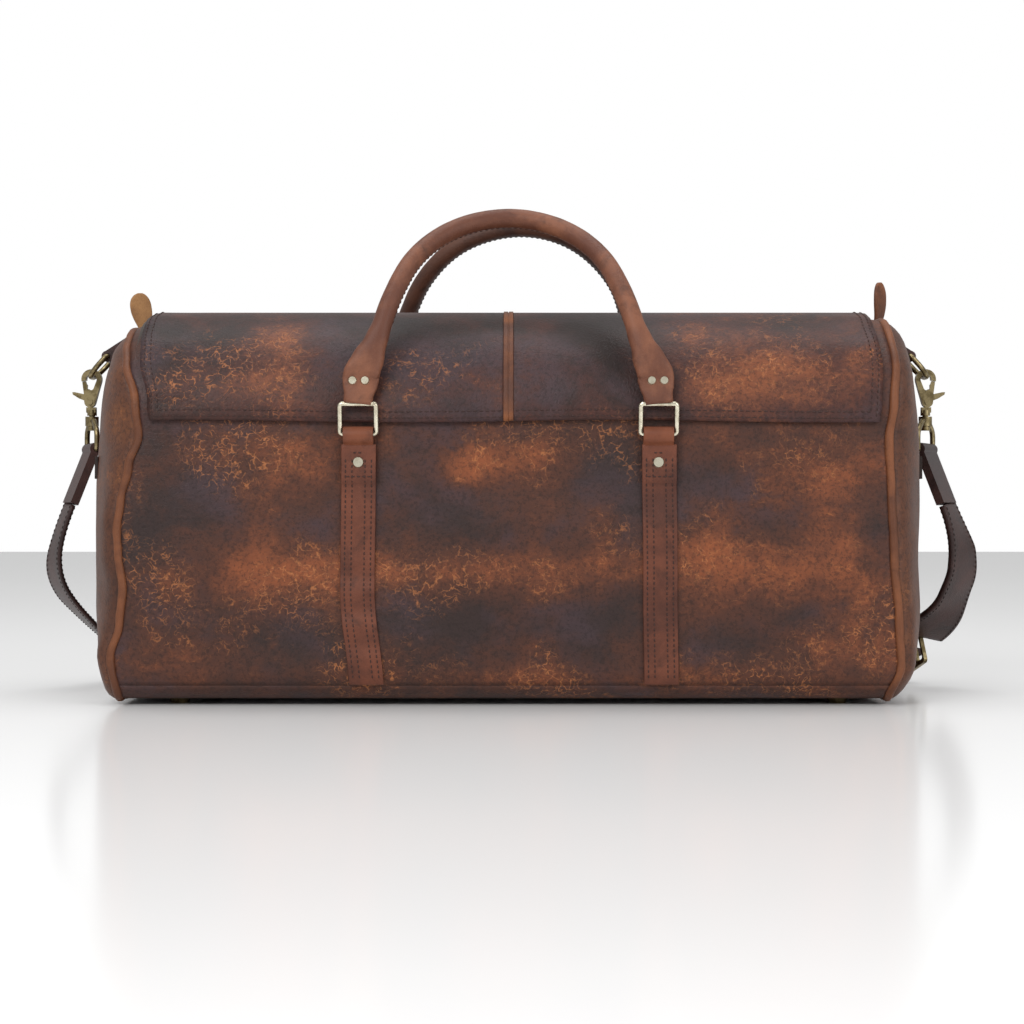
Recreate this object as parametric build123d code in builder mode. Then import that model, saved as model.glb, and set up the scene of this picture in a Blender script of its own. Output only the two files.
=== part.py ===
from build123d import *
import math
import os

# A leather duffel bag. X runs along the bag, the front faces -Y, and Z is up.
# The origin is on the floor under the middle of the bag. Lengths are in millimetres.

# Body
HALF_DEPTH = 125.0
BODY_TOP = 276.0
FOOT_HEIGHT = 4.0
TOP_RADIUS = 75.0
LOW_RADIUS = 20.0
LEATHER = 2.4
LINING = 1.0
PANEL_HALF = 263.0
PIPING_X = 266.0
PIPING_R = 3.0
DOME_X = 269.0
DOME_RISE = 32.0
DOME_INSETS = (0.0, 5.0, 14.0, 28.0, 48.0, 75.0)
OPEN_RIM = 0.5
SEAM_Z = 14.0
BOARD = (520.0, 196.0, 3.0)
LINING_LIFT = 5.0

# Zip mouth, in the top of the body
MOUTH_Y = 46.0
MOUTH_TOP = 270.0
MOUTH_HALF = 220.0
ZIP_GAP = 0.3
TEETH_W = 3.2

# Flap
FLAP_HALF = 255.0
FLAP_GAP = 0.4
FLAP_LINING = 1.0
FLAP_BACK_Y = 48.0
FLAP_EDGE_Z = 198.0
HEM_Y = 62.0

# Anchor straps, ring loops and rings
ANCHOR_X = 104.0
STRAP_W = 24.0
STRAP_TOP = 182.0
LOOP_W = 20.0
LOOP_LAYER = 3.0
RING_WIRE = 1.75
HOLE_R = 1.95
RING_Y = 131.3
RING_Z = 189.0
RING_W = 25.0
RING_H = 21.0
RING_TILT = 12.0

# Handles
HANDLE_R = 6.9
CORE_R = 4.4
FRONT_HALF_ARCH = ((-101.5, -133.9, 230.5), (-90.5, -131.0, 255.0), (-82.0, -118.0, 285.0),
                   (-66.5, -95.0, 317.5), (-38.0, -73.0, 340.0))
FRONT_APEX = (0.0, -62.0, 349.0)
FRONT_ARCH = FRONT_HALF_ARCH + (FRONT_APEX,) + tuple((-x, y, z) for x, y, z in reversed(FRONT_HALF_ARCH))
REAR_ARCH = ((-102.0, 133.9, 230.5), (-95.0, 131.5, 256.0), (-83.0, 121.0, 290.0), (-68.0, 103.0, 322.0),
             (-38.0, 87.0, 349.0), (8.0, 82.0, 361.0), (52.0, 87.0, 351.0), (85.0, 103.0, 322.0),
             (97.0, 121.0, 290.0), (102.0, 131.5, 256.0), (102.0, 133.9, 230.5))
TAB_T = 6.2
TAB_W = 26.0
HANDLE_LEAN = 5.0

# Feet
FOOT_X = 233.0
FOOT_Y = 92.0
FOOT_R = 8.0
STUD_R = 2.0

# Shoulder hardware, one set on each end
TAB_BAR = (299.0, 251.0)
TAB_LOOP_R = 4.2
TAB_HALF = 12.0
TAB_OUTLINE = ((281.0, 257.0), (285.5, 264.5), (300.0, 255.1), (297.0, 247.3), (294.5, 236.0), (289.0, 236.0))
DRING_R = 2.0
DRING_W = 30.0
DRING_DEPTH = 20.0
DRING_DROP = 48.0
HOOK_X = 312.4
HOOK_Z = 233.4
HOOK_TURN = {"left": 20.0, "right": 25.0}
EYE_R = 4.0
EYE_OUTER_R = 7.5
PIVOT = (1.2, -16.0)
HUB_R = 2.9
GATE_TOP_R = 16.0
GATE_REGION = ((2.6, 6.0), (12.0, 6.0), (12.0, -12.6), (8.2, -12.6), (1.6, -5.6))
TRIGGER_REGION = ((2.9, 6.0), (12.0, 6.0), (12.0, -11.0), (6.0, -16.0), (0.6, -16.0), (3.4, -9.0))
THUMB_LEVER = ((1.2, -17.6), (4.2, -15.4), (9.4, -13.4), (14.2, -10.4), (14.6, -8.6), (12.6, -8.6),
               (7.0, -9.8),
               (3.0, -12.5))
SWIVEL_Z = 203.0
SWIVEL_BAR_Z = 182.0
STRAP_WIDTH = 38.0
STRAP_TUBE_R = 4.0
STRAP_LEAN = 21.5
STRAP_FOLD = 44.0

# End pockets
POCKET_Z = 167.0
POCKET_HALF = 72.0
ZIP_TAPE_RISE = 1.0
ZIP_TEETH_RISE = 2.2

# The shoulder strap's route, from the left hook round the back to the buckle, then to the right hook
LONG_ROUTE = (
    (-328.2, -4.2, 140.6), (-337.0, -6.6, 117.4), (-341.0, -1.0, 92.0), (-336.0, 19.0, 70.0),
    (-324.0, 49.0, 50.0), (-312.0, 86.0, 30.0), (-297.0, 122.0, 13.0), (-266.0, 147.0, 5.2),
    (-222.0, 160.0, 4.6), (-168.0, 164.0, 4.4), (-112.0, 163.0, 4.6), (-56.0, 167.0, 4.4),
    (0.0, 172.0, 4.6), (56.0, 172.0, 4.4), (112.0, 167.0, 4.6), (168.0, 165.0, 4.4),
    (220.0, 160.0, 4.8), (262.0, 146.0, 7.0), (294.2, 119.2, 10.3), (309.6, 76.0, 29.5),
)
ADJUST_ROUTE = (
    (318.4, 51.0, 40.5), (326.2, 29.0, 50.3), (335.0, 12.0, 69.0), (341.0, 0.0, 92.0),
    (337.0, -6.6, 117.4), (328.2, -4.2, 140.6),
)

os.makedirs("parts", exist_ok=True)


def save(solid, node):
    """Name a finished piece and write it."""
    solid.label = node
    export_step(solid, f"parts/{node}.step")


def section(inset, lift=0.0, mode=Mode.ADD):
    """The body's cross-section as a face in the current sketch, `inset` inside the leather's face."""
    side = HALF_DEPTH - inset
    crest = BODY_TOP - inset
    floor = FOOT_HEIGHT + inset + lift
    high = max(TOP_RADIUS - inset, 12.0)
    low = max(LOW_RADIUS - inset, 6.0)
    with BuildLine() as outline:
        Line((low - side, floor), (side - low, floor))
        JernArc((side - low, floor), (1, 0), low, 90)
        Line((side, floor + low), (side, crest - high))
        JernArc((side, crest - high), (0, 1), high, 90)
        Line((side - high, crest), (high - side, crest))
        JernArc((high - side, crest), (-1, 0), high, 90)
        Line((-side, crest - high), (-side, floor + low))
        JernArc((-side, floor + low), (0, -1), low, 90)
    make_face(outline.edges(), mode=mode)


def dome_reach(inset):
    """How far out the domed end is, `inset` inside the section's edge: an elliptical cushion."""
    share = (HALF_DEPTH - inset) / HALF_DEPTH
    return DOME_X + DOME_RISE * math.sqrt(1 - share ** 2)


def dome(side, grow=0.0, mode=Mode.ADD):
    """Loft one domed end, moved out by `grow`."""
    steps = []
    for inset in DOME_INSETS:
        with BuildSketch(Plane.YZ.offset(side * (dome_reach(inset) + grow))) as step:
            section(inset)
        steps.append(step.sketch)
    loft(steps, ruled=True, mode=mode)


def dome_hollow(side):
    """Cut a domed end's inside, one leather's thickness in from its outside."""
    steps = []
    for inset in DOME_INSETS:
        back = LEATHER if inset else OPEN_RIM
        with BuildSketch(Plane.YZ.offset(side * (dome_reach(inset) - back))) as step:
            section(inset + LEATHER)
        steps.append(step.sketch)
    loft(steps, ruled=True, mode=Mode.SUBTRACT)


def keep_box(y_range, z_range):
    """Keep only what lies inside this Y and Z range of the current sketch."""
    middle = ((y_range[0] + y_range[1]) / 2, (z_range[0] + z_range[1]) / 2)
    with Locations(middle):
        Rectangle(y_range[1] - y_range[0], z_range[1] - z_range[0], mode=Mode.INTERSECT)


def skin(outer, inner, y_range, z_range, half_length):
    """Extrude a strip of the cross-section's skin along the bag."""
    with BuildSketch(Plane.YZ) as strip:
        section(outer)
        section(inner, mode=Mode.SUBTRACT)
        keep_box(y_range, z_range)
    extrude(strip.sketch, amount=half_length, both=True)


def block(x_range, y_range, z_range, mode=Mode.ADD):
    """A box between two corners."""
    middle = Vector(*[(low + high) / 2 for low, high in (x_range, y_range, z_range)])
    size = [high - low for low, high in (x_range, y_range, z_range)]
    with Locations(middle):
        Box(*size, mode=mode)


def ordered(first, second):
    """Two bounds in rising order, so that a mirrored side can use the same call."""
    return (min(first, second), max(first, second))


def arc_radii(points):
    """The largest tangent arcs that fit a route's corners."""
    radii = []
    for before, here, after in zip(points, points[1:], points[2:]):
        run_in = Vector(*here) - Vector(*before)
        run_out = Vector(*after) - Vector(*here)
        turn = math.radians(run_in.get_angle(run_out))
        radii.append(0.45 * min(run_in.length, run_out.length) / math.tan(turn / 2))
    return radii


def tube(points, radius, mode=Mode.ADD):
    """Sweep a round tube along straight runs joined by tangent arcs."""
    with BuildLine() as route:
        FilletPolyline(*points, radius=arc_radii(points))
    start = route.wire() @ 0
    with BuildSketch(Plane(origin=start, z_dir=route.wire() % 0)) as disc:
        Circle(radius)
    sweep(disc.sketch, path=route.wire(), mode=mode)
    return route.wire().length


def wire_loop(plane, points, radii, wire):
    """A closed bent-wire ring in a plane."""
    with BuildLine(plane) as path:
        FilletPolyline(*points, radius=radii, close=True)
    ring = path.wire()
    with BuildSketch(Plane(origin=ring @ 0, z_dir=ring % 0)) as disc:
        Circle(wire)
    sweep(disc.sketch, path=ring)


def pin(start, end, radius, mode=Mode.ADD):
    """A cylinder between two points."""
    along = Vector(*end) - Vector(*start)
    with BuildSketch(Plane(origin=start, z_dir=along)) as disc:
        Circle(radius)
    extrude(disc.sketch, amount=along.length, mode=mode)


def dome_rivet(point, out, head_r, head_h, shank_r, shank_l):
    """A rivet with a low domed head at a point, its shank going inward."""
    base = Plane(origin=point, z_dir=out)
    with BuildSketch(base) as head:
        Circle(head_r)
    extrude(head.sketch, amount=head_h, taper=32)
    with BuildSketch(base) as shank:
        Circle(shank_r)
    extrude(shank.sketch, amount=-shank_l)


# Body panels -----------------------------------------------------------------------------------

RIVET_Z = 169.5
RIVET_R = 1.5

for name, side in (("front", -1), ("back", 1)):
    with BuildPart() as panel:
        reach = ordered(side * MOUTH_Y, side * (HALF_DEPTH + 1))
        skin(0.0, LEATHER, reach, (SEAM_Z, BODY_TOP + 1), PANEL_HALF)
        for x in (-ANCHOR_X, ANCHOR_X):
            wall = side * (HALF_DEPTH + 1)
            pin((x, wall, RIVET_Z), (x, wall - side * 6, RIVET_Z), RIVET_R, mode=Mode.SUBTRACT)
    save(panel.part, f"{name}_panel")

with BuildPart() as bottom_panel:
    skin(0.0, LEATHER, (-HALF_DEPTH - 1, HALF_DEPTH + 1), (0, SEAM_Z), PANEL_HALF)
    with GridLocations(2 * FOOT_X, 2 * FOOT_Y, 2, 2):
        Cylinder(STUD_R, 40, mode=Mode.SUBTRACT)
save(bottom_panel.part, "bottom_panel")

for name, side in (("left", -1), ("right", 1)):
    with BuildPart() as end_panel:
        dome(side)
        dome_hollow(side)
    save(end_panel.part, f"{name}_end_panel")

    with BuildSketch(Plane.YZ.offset(side * PIPING_X)) as rim_face:
        section(LEATHER / 2)
    rim = rim_face.sketch.face().outer_wire()
    with BuildPart() as piping:
        with BuildSketch(Plane(origin=rim @ 0, z_dir=rim % 0)):
            Circle(PIPING_R)
        sweep(path=rim)
    save(piping.part, f"{name}_piping")

with BuildPart() as lining:
    with BuildSketch(Plane.YZ):
        section(LEATHER, LINING_LIFT)
        section(LEATHER + LINING, LINING_LIFT, mode=Mode.SUBTRACT)
        with Locations((0, BODY_TOP)):
            Rectangle(2 * MOUTH_Y, 30, mode=Mode.SUBTRACT)
    extrude(amount=PANEL_HALF - 1, both=True)
    for x in (-PANEL_HALF + 1, PANEL_HALF - 1 - LINING):
        with BuildSketch(Plane.YZ.offset(x)):
            section(LEATHER + LINING / 2, LINING_LIFT)
            with Locations((0, BODY_TOP)):
                Rectangle(2 * MOUTH_Y, 30, mode=Mode.SUBTRACT)
        extrude(amount=LINING)
save(lining.part, "lining")

BOARD_Z = FOOT_HEIGHT + LEATHER
with BuildPart() as base_board:
    block((-BOARD[0] / 2, BOARD[0] / 2), (-BOARD[1] / 2, BOARD[1] / 2), (BOARD_Z, BOARD_Z + BOARD[2]))
    with GridLocations(2 * FOOT_X, 2 * FOOT_Y, 2, 2):
        Cylinder(STUD_R, 40, mode=Mode.SUBTRACT)
save(base_board.part, "base_board")

with BuildPart() as base_feet:
    with GridLocations(2 * FOOT_X, 2 * FOOT_Y, 2, 2):
        Cone(FOOT_R - 2.0, FOOT_R, FOOT_HEIGHT, align=(Align.CENTER, Align.CENTER, Align.MIN))
        Cylinder(STUD_R, BOARD_Z + BOARD[2] + 1.2, align=(Align.CENTER, Align.CENTER, Align.MIN))
        with Locations((0, 0, BOARD_Z + BOARD[2])):
            Cylinder(6.0, 1.2, align=(Align.CENTER, Align.CENTER, Align.MIN))
save(base_feet.part, "base_feet")

# Zip mouth --------------------------------------------------------------------------------------

STRIP_T = 2.4
TAPE_T = 1.0
for name, side in (("front", -1), ("rear", 1)):
    with BuildPart() as mouth_strip:
        block((-MOUTH_HALF, MOUTH_HALF), ordered(side * 15, side * (MOUTH_Y - 0.4)),
              (MOUTH_TOP - STRIP_T, MOUTH_TOP))
    save(mouth_strip.part, f"mouth_strip_{name}")
    with BuildPart() as zip_chain:
        tape_top = MOUTH_TOP - STRIP_T
        block((-MOUTH_HALF, MOUTH_HALF), ordered(side * TEETH_W, side * 22), (tape_top - TAPE_T, tape_top))
        block((-MOUTH_HALF, MOUTH_HALF), ordered(side * ZIP_GAP, side * (TEETH_W + 0.4)),
              (tape_top - TAPE_T - 0.8, tape_top + 0.6))
    save(zip_chain.part, f"zip_chain_{name}")

for name, side in (("left", -1), ("right", 1)):
    with BuildPart() as zip_end:
        tape_top = MOUTH_TOP - STRIP_T
        block(ordered(side * (MOUTH_HALF + 0.4), side * PANEL_HALF), (-MOUTH_Y, MOUTH_Y), (tape_top,
                                                                                           MOUTH_TOP))
        block(ordered(side * MOUTH_HALF, side * PANEL_HALF), (-10, 10), (tape_top, MOUTH_TOP),
              mode=Mode.SUBTRACT)
        block(ordered(side * (MOUTH_HALF + 0.4), side * PANEL_HALF), (-22, 22), (tape_top - TAPE_T, tape_top))
        block(ordered(side * (MOUTH_HALF + 0.4), side * PANEL_HALF), (-TEETH_W, TEETH_W),
              (tape_top - TAPE_T - 0.8, tape_top + 0.6))
    save(zip_end.part, f"zip_end_{name}")

SLIDER_X = 252.0
with BuildPart() as zip_slider:
    tape_top = MOUTH_TOP - STRIP_T
    x_range = (SLIDER_X - 7, SLIDER_X + 7)
    block(x_range, (-5.5, 5.5), (tape_top + 0.9, tape_top + 2.3))
    block((SLIDER_X - 2.5, SLIDER_X + 2.5), (-2, 2), (tape_top + 2.3, tape_top + 4.9))
    fillet(zip_slider.edges().filter_by(Axis.Z).group_by(SortBy.LENGTH)[0], 1.2)
    pin((SLIDER_X, -3, tape_top + 3.6), (SLIDER_X, 3, tape_top + 3.6), 0.75, mode=Mode.SUBTRACT)
save(zip_slider.part, "zip_slider")

with BuildPart() as zip_pull:
    pull_z = MOUTH_TOP - STRIP_T + 3.6
    pin((SLIDER_X, -3.4, pull_z), (SLIDER_X, 3.4, pull_z), 0.65)
    for side in (-1, 1):
        block((SLIDER_X - 8, SLIDER_X + 0.65), ordered(side * 2.4, side * 3.6), (pull_z - 0.65,
                                                                                 pull_z + 0.65))
    block((SLIDER_X - 30, SLIDER_X - 7), (-3.6, 3.6), (pull_z - 0.65, pull_z + 0.65))
save(zip_pull.part, "zip_pull")

for name, side, turn, tip in (("left", -1, 62.0, 301.0), ("right", 1, 40.0, 306.0)):
    with BuildPart() as zip_tab:
        facing = Plane(origin=(side * 278.0, 0, 0), x_dir=(math.sin(math.radians(turn)),
                       math.cos(math.radians(turn)), 0),
                       z_dir=(math.cos(math.radians(turn)), -math.sin(math.radians(turn)), 0))
        rise = 1 if facing.y_dir.Z > 0 else -1
        with BuildSketch(facing):
            with BuildLine():
                Polyline((-5, rise * 273.5), (-9.5, rise * (tip - 10)), (9.5, rise * (tip - 10)), (5,
                                                                                                   rise * 273.5),
                         (-5, rise * 273.5))
            make_face()
            with Locations((0, rise * (tip - 10))):
                Circle(10)
        extrude(amount=1.6, both=True)
    save(zip_tab.part, f"zip_tab_{name}")

# Flap -------------------------------------------------------------------------------------------

FLAP_IN = -(FLAP_GAP + FLAP_LINING)
FLAP_OUT = FLAP_IN - LEATHER
flap_reach = (-HALF_DEPTH - 8, FLAP_BACK_Y)
flap_height = (FLAP_EDGE_Z, BODY_TOP + 8)
for name, side in (("left", -1), ("right", 1)):
    with BuildPart() as flap:
        with BuildSketch(Plane.YZ):
            section(FLAP_OUT)
            section(FLAP_IN, mode=Mode.SUBTRACT)
            keep_box(flap_reach, flap_height)
        extrude(amount=side * FLAP_HALF)
    save(flap.part, f"flap_{name}")

with BuildPart() as flap_seam_strip:
    skin(FLAP_OUT - 0.8, FLAP_OUT, flap_reach, flap_height, 4.5)
save(flap_seam_strip.part, "flap_seam_strip")

with BuildPart() as flap_lining:
    skin(FLAP_IN, -FLAP_GAP, flap_reach, flap_height, FLAP_HALF - 2)
save(flap_lining.part, "flap_lining")

with BuildPart() as flap_hem:
    skin(-LEATHER, 0.0, (FLAP_BACK_Y + 0.6, HEM_Y), flap_height, FLAP_HALF)
save(flap_hem.part, "flap_hem")

# Anchor straps, loops, rings --------------------------------------------------------------------

STRAP_IN = HALF_DEPTH
STRAP_OUT = HALF_DEPTH + LEATHER
LIFTED_OUT = STRAP_OUT + LOOP_LAYER
for end, side in (("front", -1), ("rear", 1)):
    for name, x in (("left", -ANCHOR_X), ("right", ANCHOR_X)):
        with BuildPart() as anchor_strap:
            with BuildSketch(Plane.YZ.offset(x)):
                with BuildLine():
                    Polyline(
                        (side * STRAP_IN, SEAM_Z + 10), (side * STRAP_OUT, SEAM_Z + 10),
                        (side * STRAP_OUT, 154), (side * LIFTED_OUT, 158), (side * LIFTED_OUT, STRAP_TOP),
                        (side * (STRAP_IN + LOOP_LAYER), STRAP_TOP), (side * (STRAP_IN + LOOP_LAYER), 158.6),
                        (side * STRAP_IN, 154.6), (side * STRAP_IN, SEAM_Z + 10),
                    )
                make_face()
            extrude(amount=STRAP_W / 2, both=True)
            pin((x, side * (LIFTED_OUT + 1), RIVET_Z), (x, side * (STRAP_IN - 1), RIVET_Z), RIVET_R,
                mode=Mode.SUBTRACT)
        save(anchor_strap.part, f"{end}_{name}_anchor_strap")

    with BuildPart() as ring_loops:
        for x in (-ANCHOR_X, ANCHOR_X):
            block((x - LOOP_W / 2, x + LOOP_W / 2), ordered(side * STRAP_IN, side * (STRAP_IN + LOOP_LAYER)),
                  (160, RING_Z + 3.6))
            pin((x - LOOP_W / 2, side * RING_Y, RING_Z), (x + LOOP_W / 2, side * RING_Y, RING_Z), 3.6)
            block((x - LOOP_W / 2, x + LOOP_W / 2), ordered(side * STRAP_IN, side * RING_Y),
                  (RING_Z + 1.6, RING_Z + 3.6))
            pin((x - 20, side * RING_Y, RING_Z), (x + 20, side * RING_Y, RING_Z), HOLE_R, mode=Mode.SUBTRACT)
            pin((x, side * (LIFTED_OUT + 1), RIVET_Z), (x, side * (STRAP_IN - 1), RIVET_Z), RIVET_R,
                mode=Mode.SUBTRACT)
    save(ring_loops.part, f"{end}_ring_loops")

    tilt = math.radians(RING_TILT)
    with BuildPart() as rings:
        for x in (-ANCHOR_X, ANCHOR_X):
            lying = Plane(origin=(x, side * RING_Y, RING_Z), x_dir=(1, 0, 0),
                          z_dir=(0, -math.cos(tilt), side * math.sin(tilt)))
            corners = [(-RING_W / 2, 0), (RING_W / 2, 0), (RING_W / 2, RING_H), (-RING_W / 2, RING_H)]
            wire_loop(lying, corners, 2.0, RING_WIRE)
    save(rings.part, f"{end}_rings")

with BuildPart() as anchor_rivets:
    for side in (-1, 1):
        for x in (-ANCHOR_X, ANCHOR_X):
            dome_rivet((x, side * LIFTED_OUT, RIVET_Z), (0, side, 0), 4.25, 1.4, RIVET_R,
                       LIFTED_OUT - HALF_DEPTH + LEATHER)
save(anchor_rivets.part, "anchor_rivets")

# Handles ----------------------------------------------------------------------------------------

for end, side in (("front", -1), ("rear", 1)):
    tilt = math.radians(RING_TILT)
    lean = math.radians(HANDLE_LEAN)
    bar_y = RING_Y + RING_H * math.sin(tilt)
    bar_z = RING_Z + RING_H * math.cos(tilt)
    up = Vector(0, -side * math.sin(lean), math.cos(lean))
    out = Vector(0, side * math.cos(lean), math.sin(lean))
    arch = REAR_ARCH if side > 0 else FRONT_ARCH

    with BuildPart() as handle:
        tube(arch, HANDLE_R)
        for x in (-ANCHOR_X, ANCHOR_X):
            bar = Vector(x, side * bar_y, bar_z)
            shift = Vector(0.8 if x < 0 else -0.8, 0, 0)
            plate = Plane(origin=bar, x_dir=(1, 0, 0), z_dir=out)
            rise = 1 if plate.y_dir.Z > 0 else -1
            with BuildSketch(plate):
                with Locations((0, rise * 4)):
                    Rectangle(LOOP_W, 8)
                with Locations((shift.X, rise * 22)):
                    RectangleRounded(TAB_W, 30, 3)
            extrude(amount=TAB_T / 2, both=True)
            pin(bar - Vector(LOOP_W / 2, 0, 0), bar + Vector(LOOP_W / 2, 0, 0), 4.2)
            pin(bar - Vector(16, 0, 0), bar + Vector(16, 0, 0), HOLE_R, mode=Mode.SUBTRACT)
            for step in (-4.3, 4.3):
                hole = bar + up * 16 + shift + Vector(step, 0, 0)
                pin(hole - out * 12, hole + out * 12, 1.25, mode=Mode.SUBTRACT)
        tube(arch, CORE_R + 0.2, mode=Mode.SUBTRACT)
    save(handle.part, f"{end}_handle")

    with BuildPart() as handle_core:
        tube(arch, CORE_R)
    save(handle_core.part, f"{end}_handle_core")

    with BuildPart() as handle_rivets:
        for x in (-ANCHOR_X, ANCHOR_X):
            shift = Vector(0.8 if x < 0 else -0.8, 0, 0)
            for step in (-4.3, 4.3):
                centre = Vector(x + step, side * bar_y, bar_z) + up * 16 + shift
                face = centre + out * (TAB_T / 2)
                dome_rivet(face, out, 3.3, 1.2, 1.2, TAB_T + 0.4)
    save(handle_rivets.part, f"{end}_handle_rivets")

# Shoulder hardware ------------------------------------------------------------------------------


def hook_point(side, u, v):
    """A point of a hook in the XZ plane: u away from the bag, v up from the eye's centre."""
    return (side * (HOOK_X + u), HOOK_Z + v)


def outlined(side, corners, mode=Mode.ADD):
    """A straight-sided face of a hook, from its corners."""
    with BuildLine() as edge:
        Polyline(*[hook_point(side, *corner) for corner in corners + corners[:1]])
    make_face(edge.edges(), mode=mode)


cap_x = dome_reach(DOME_INSETS[-1])
for name, side in (("left", -1), ("right", 1)):
    with BuildPart() as dring_tab:
        with BuildSketch(Plane.XZ):
            with BuildLine():
                Polyline(*[(side * x, z) for x, z in TAB_OUTLINE + TAB_OUTLINE[:1]])
            make_face()
            with Locations((side * TAB_BAR[0], TAB_BAR[1])):
                Circle(TAB_LOOP_R)
        extrude(amount=TAB_HALF, both=True)
        pin((side * TAB_BAR[0], -DRING_W, TAB_BAR[1]), (side * TAB_BAR[0], DRING_W, TAB_BAR[1]),
            DRING_R + 0.2,
            mode=Mode.SUBTRACT)
        dome(side, mode=Mode.SUBTRACT)
    save(dring_tab.part, f"{name}_dring_tab")

    drop = math.radians(DRING_DROP)
    hang = Vector(side * math.cos(drop), 0, -math.sin(drop))
    with BuildPart() as dring:
        lying = Plane(origin=(side * TAB_BAR[0], 0, TAB_BAR[1]), x_dir=(0, 1, 0), z_dir=Vector(0, 1,
                                                                                               0).cross(hang))
        corners = [(-DRING_W / 2, 0), (DRING_W / 2, 0), (DRING_W / 2, DRING_DEPTH), (-DRING_W / 2,
                                                                                     DRING_DEPTH)]
        wire_loop(lying, corners, [2.5, 2.5, 12.0, 12.0], DRING_R)
    save(dring.part, f"{name}_dring")

    pivot = hook_point(side, *PIVOT)
    with BuildPart() as hook:
        with BuildSketch(Plane.XZ):
            with Locations(hook_point(side, 0, 1)):
                Circle(EYE_OUTER_R)
            with Locations(pivot):
                Circle(HUB_R + 1.2)
            make_hull()
            with Locations(hook_point(side, 0.4, -22)):
                Rectangle(7, 4)
        extrude(amount=3, both=True)
        with BuildSketch(Plane.XZ):
            with Locations(hook_point(side, 0, 1)):
                Circle(EYE_R)
            with Locations(hook_point(side, 0.4, -5)):
                Circle(2.2)
            make_hull()
        extrude(amount=3, both=True, mode=Mode.SUBTRACT)
        with BuildSketch(Plane.XZ):
            outlined(side, GATE_REGION)
            with Locations(pivot):
                Circle(GATE_TOP_R + 0.5, mode=Mode.INTERSECT)
        extrude(amount=3, both=True, mode=Mode.SUBTRACT)
        with BuildSketch(Plane.XZ):
            with Locations(hook_point(side, 4.7, -12)):
                Rectangle(14, 17)
        extrude(amount=1.7, both=True, mode=Mode.SUBTRACT)
        pin((pivot[0], -3, pivot[1]), (pivot[0], 3, pivot[1]), 1.1)
        pin((pivot[0], -3.8, pivot[1]), (pivot[0], -3, pivot[1]), 2.2)
        pin((side * HOOK_X, 0, HOOK_Z - 23), (side * HOOK_X, 0, SWIVEL_Z - 4), 2.2)
        pin((side * HOOK_X, 0, SWIVEL_Z + 4.2), (side * HOOK_X, 0, HOOK_Z - 22), 3.6)
        pin((side * HOOK_X, 0, SWIVEL_Z - 7), (side * HOOK_X, 0, SWIVEL_Z - 4), 3.6)
    save(hook.part, f"{name}_hook")

    with BuildPart() as trigger:
        with BuildSketch(Plane.XZ):
            with Locations(hook_point(side, 0, 1)):
                Circle(EYE_OUTER_R - 0.2)
            with Locations(pivot):
                Circle(HUB_R + 1.0)
            make_hull()
            with Locations(hook_point(side, -0.3, 0)):
                Circle(EYE_R + 0.8, mode=Mode.SUBTRACT)
            outlined(side, TRIGGER_REGION, Mode.INTERSECT)
            with Locations(pivot):
                Circle(GATE_TOP_R, mode=Mode.INTERSECT)
            outlined(side, THUMB_LEVER)
            with Locations(pivot):
                Circle(HUB_R)
                Circle(1.3, mode=Mode.SUBTRACT)
        extrude(amount=1.4, both=True)
    save(trigger.part, f"{name}_trigger")

    turn = math.radians(HOOK_TURN[name])
    across = Vector(side * math.sin(turn), math.cos(turn), 0)
    centre = Vector(side * HOOK_X, 0, 0)
    with BuildPart() as swivel:
        facing = Plane(origin=centre, x_dir=across, z_dir=across.cross(Vector(0, 0, 1)))
        half = STRAP_WIDTH / 2 + 2.6
        corners = [(-half, SWIVEL_BAR_Z), (half, SWIVEL_BAR_Z), (half, 195), (9, SWIVEL_Z), (-9, SWIVEL_Z),
                   (-half, 195)]
        wire_loop(facing, corners, [2.5, 2.5, 8.0, 5.0, 5.0, 8.0], 2.0)
        pin(centre + Vector(0, 0, SWIVEL_Z - 3.6), centre + Vector(0, 0, SWIVEL_Z + 3.4), 5.0)
        pin(centre + Vector(0, 0, SWIVEL_Z - 6), centre + Vector(0, 0, SWIVEL_Z + 6), 2.3, mode=Mode.SUBTRACT)
    save(swivel.part, f"{name}_swivel")

    lean = math.radians(STRAP_LEAN)
    with BuildPart() as strap_fold:
        beside = Plane(origin=centre, x_dir=Vector(side * math.cos(turn), -math.sin(turn), 0),
                       z_dir=Vector(-math.sin(turn), -side * math.cos(turn), 0))
        with BuildSketch(beside):
            with Locations((0, SWIVEL_BAR_Z)):
                Circle(4.6)
            reach_out = STRAP_FOLD * math.sin(lean)
            reach_down = STRAP_FOLD * math.cos(lean)
            with Locations(Location((reach_out / 2, SWIVEL_BAR_Z - reach_down / 2, 0), (0, 0, STRAP_LEAN))):
                Rectangle(6.0, STRAP_FOLD)
            with Locations((0, SWIVEL_BAR_Z)):
                Circle(2.2, mode=Mode.SUBTRACT)
        extrude(amount=STRAP_WIDTH / 2, both=True)
    save(strap_fold.part, f"{name}_strap_fold")

    with BuildPart() as pocket_zip:
        for high, half_height, half_length in ((ZIP_TAPE_RISE, 8, POCKET_HALF), (ZIP_TEETH_RISE, 2.6,
                                                                                 POCKET_HALF - 3)):
            block(ordered(side * DOME_X, side * (cap_x + high)), (-half_length, half_length),
                  (POCKET_Z - half_height, POCKET_Z + half_height))
        dome(side, ZIP_TEETH_RISE, mode=Mode.INTERSECT)
        dome(side, mode=Mode.SUBTRACT)
    save(pocket_zip.part, f"{name}_pocket_zip")

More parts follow.
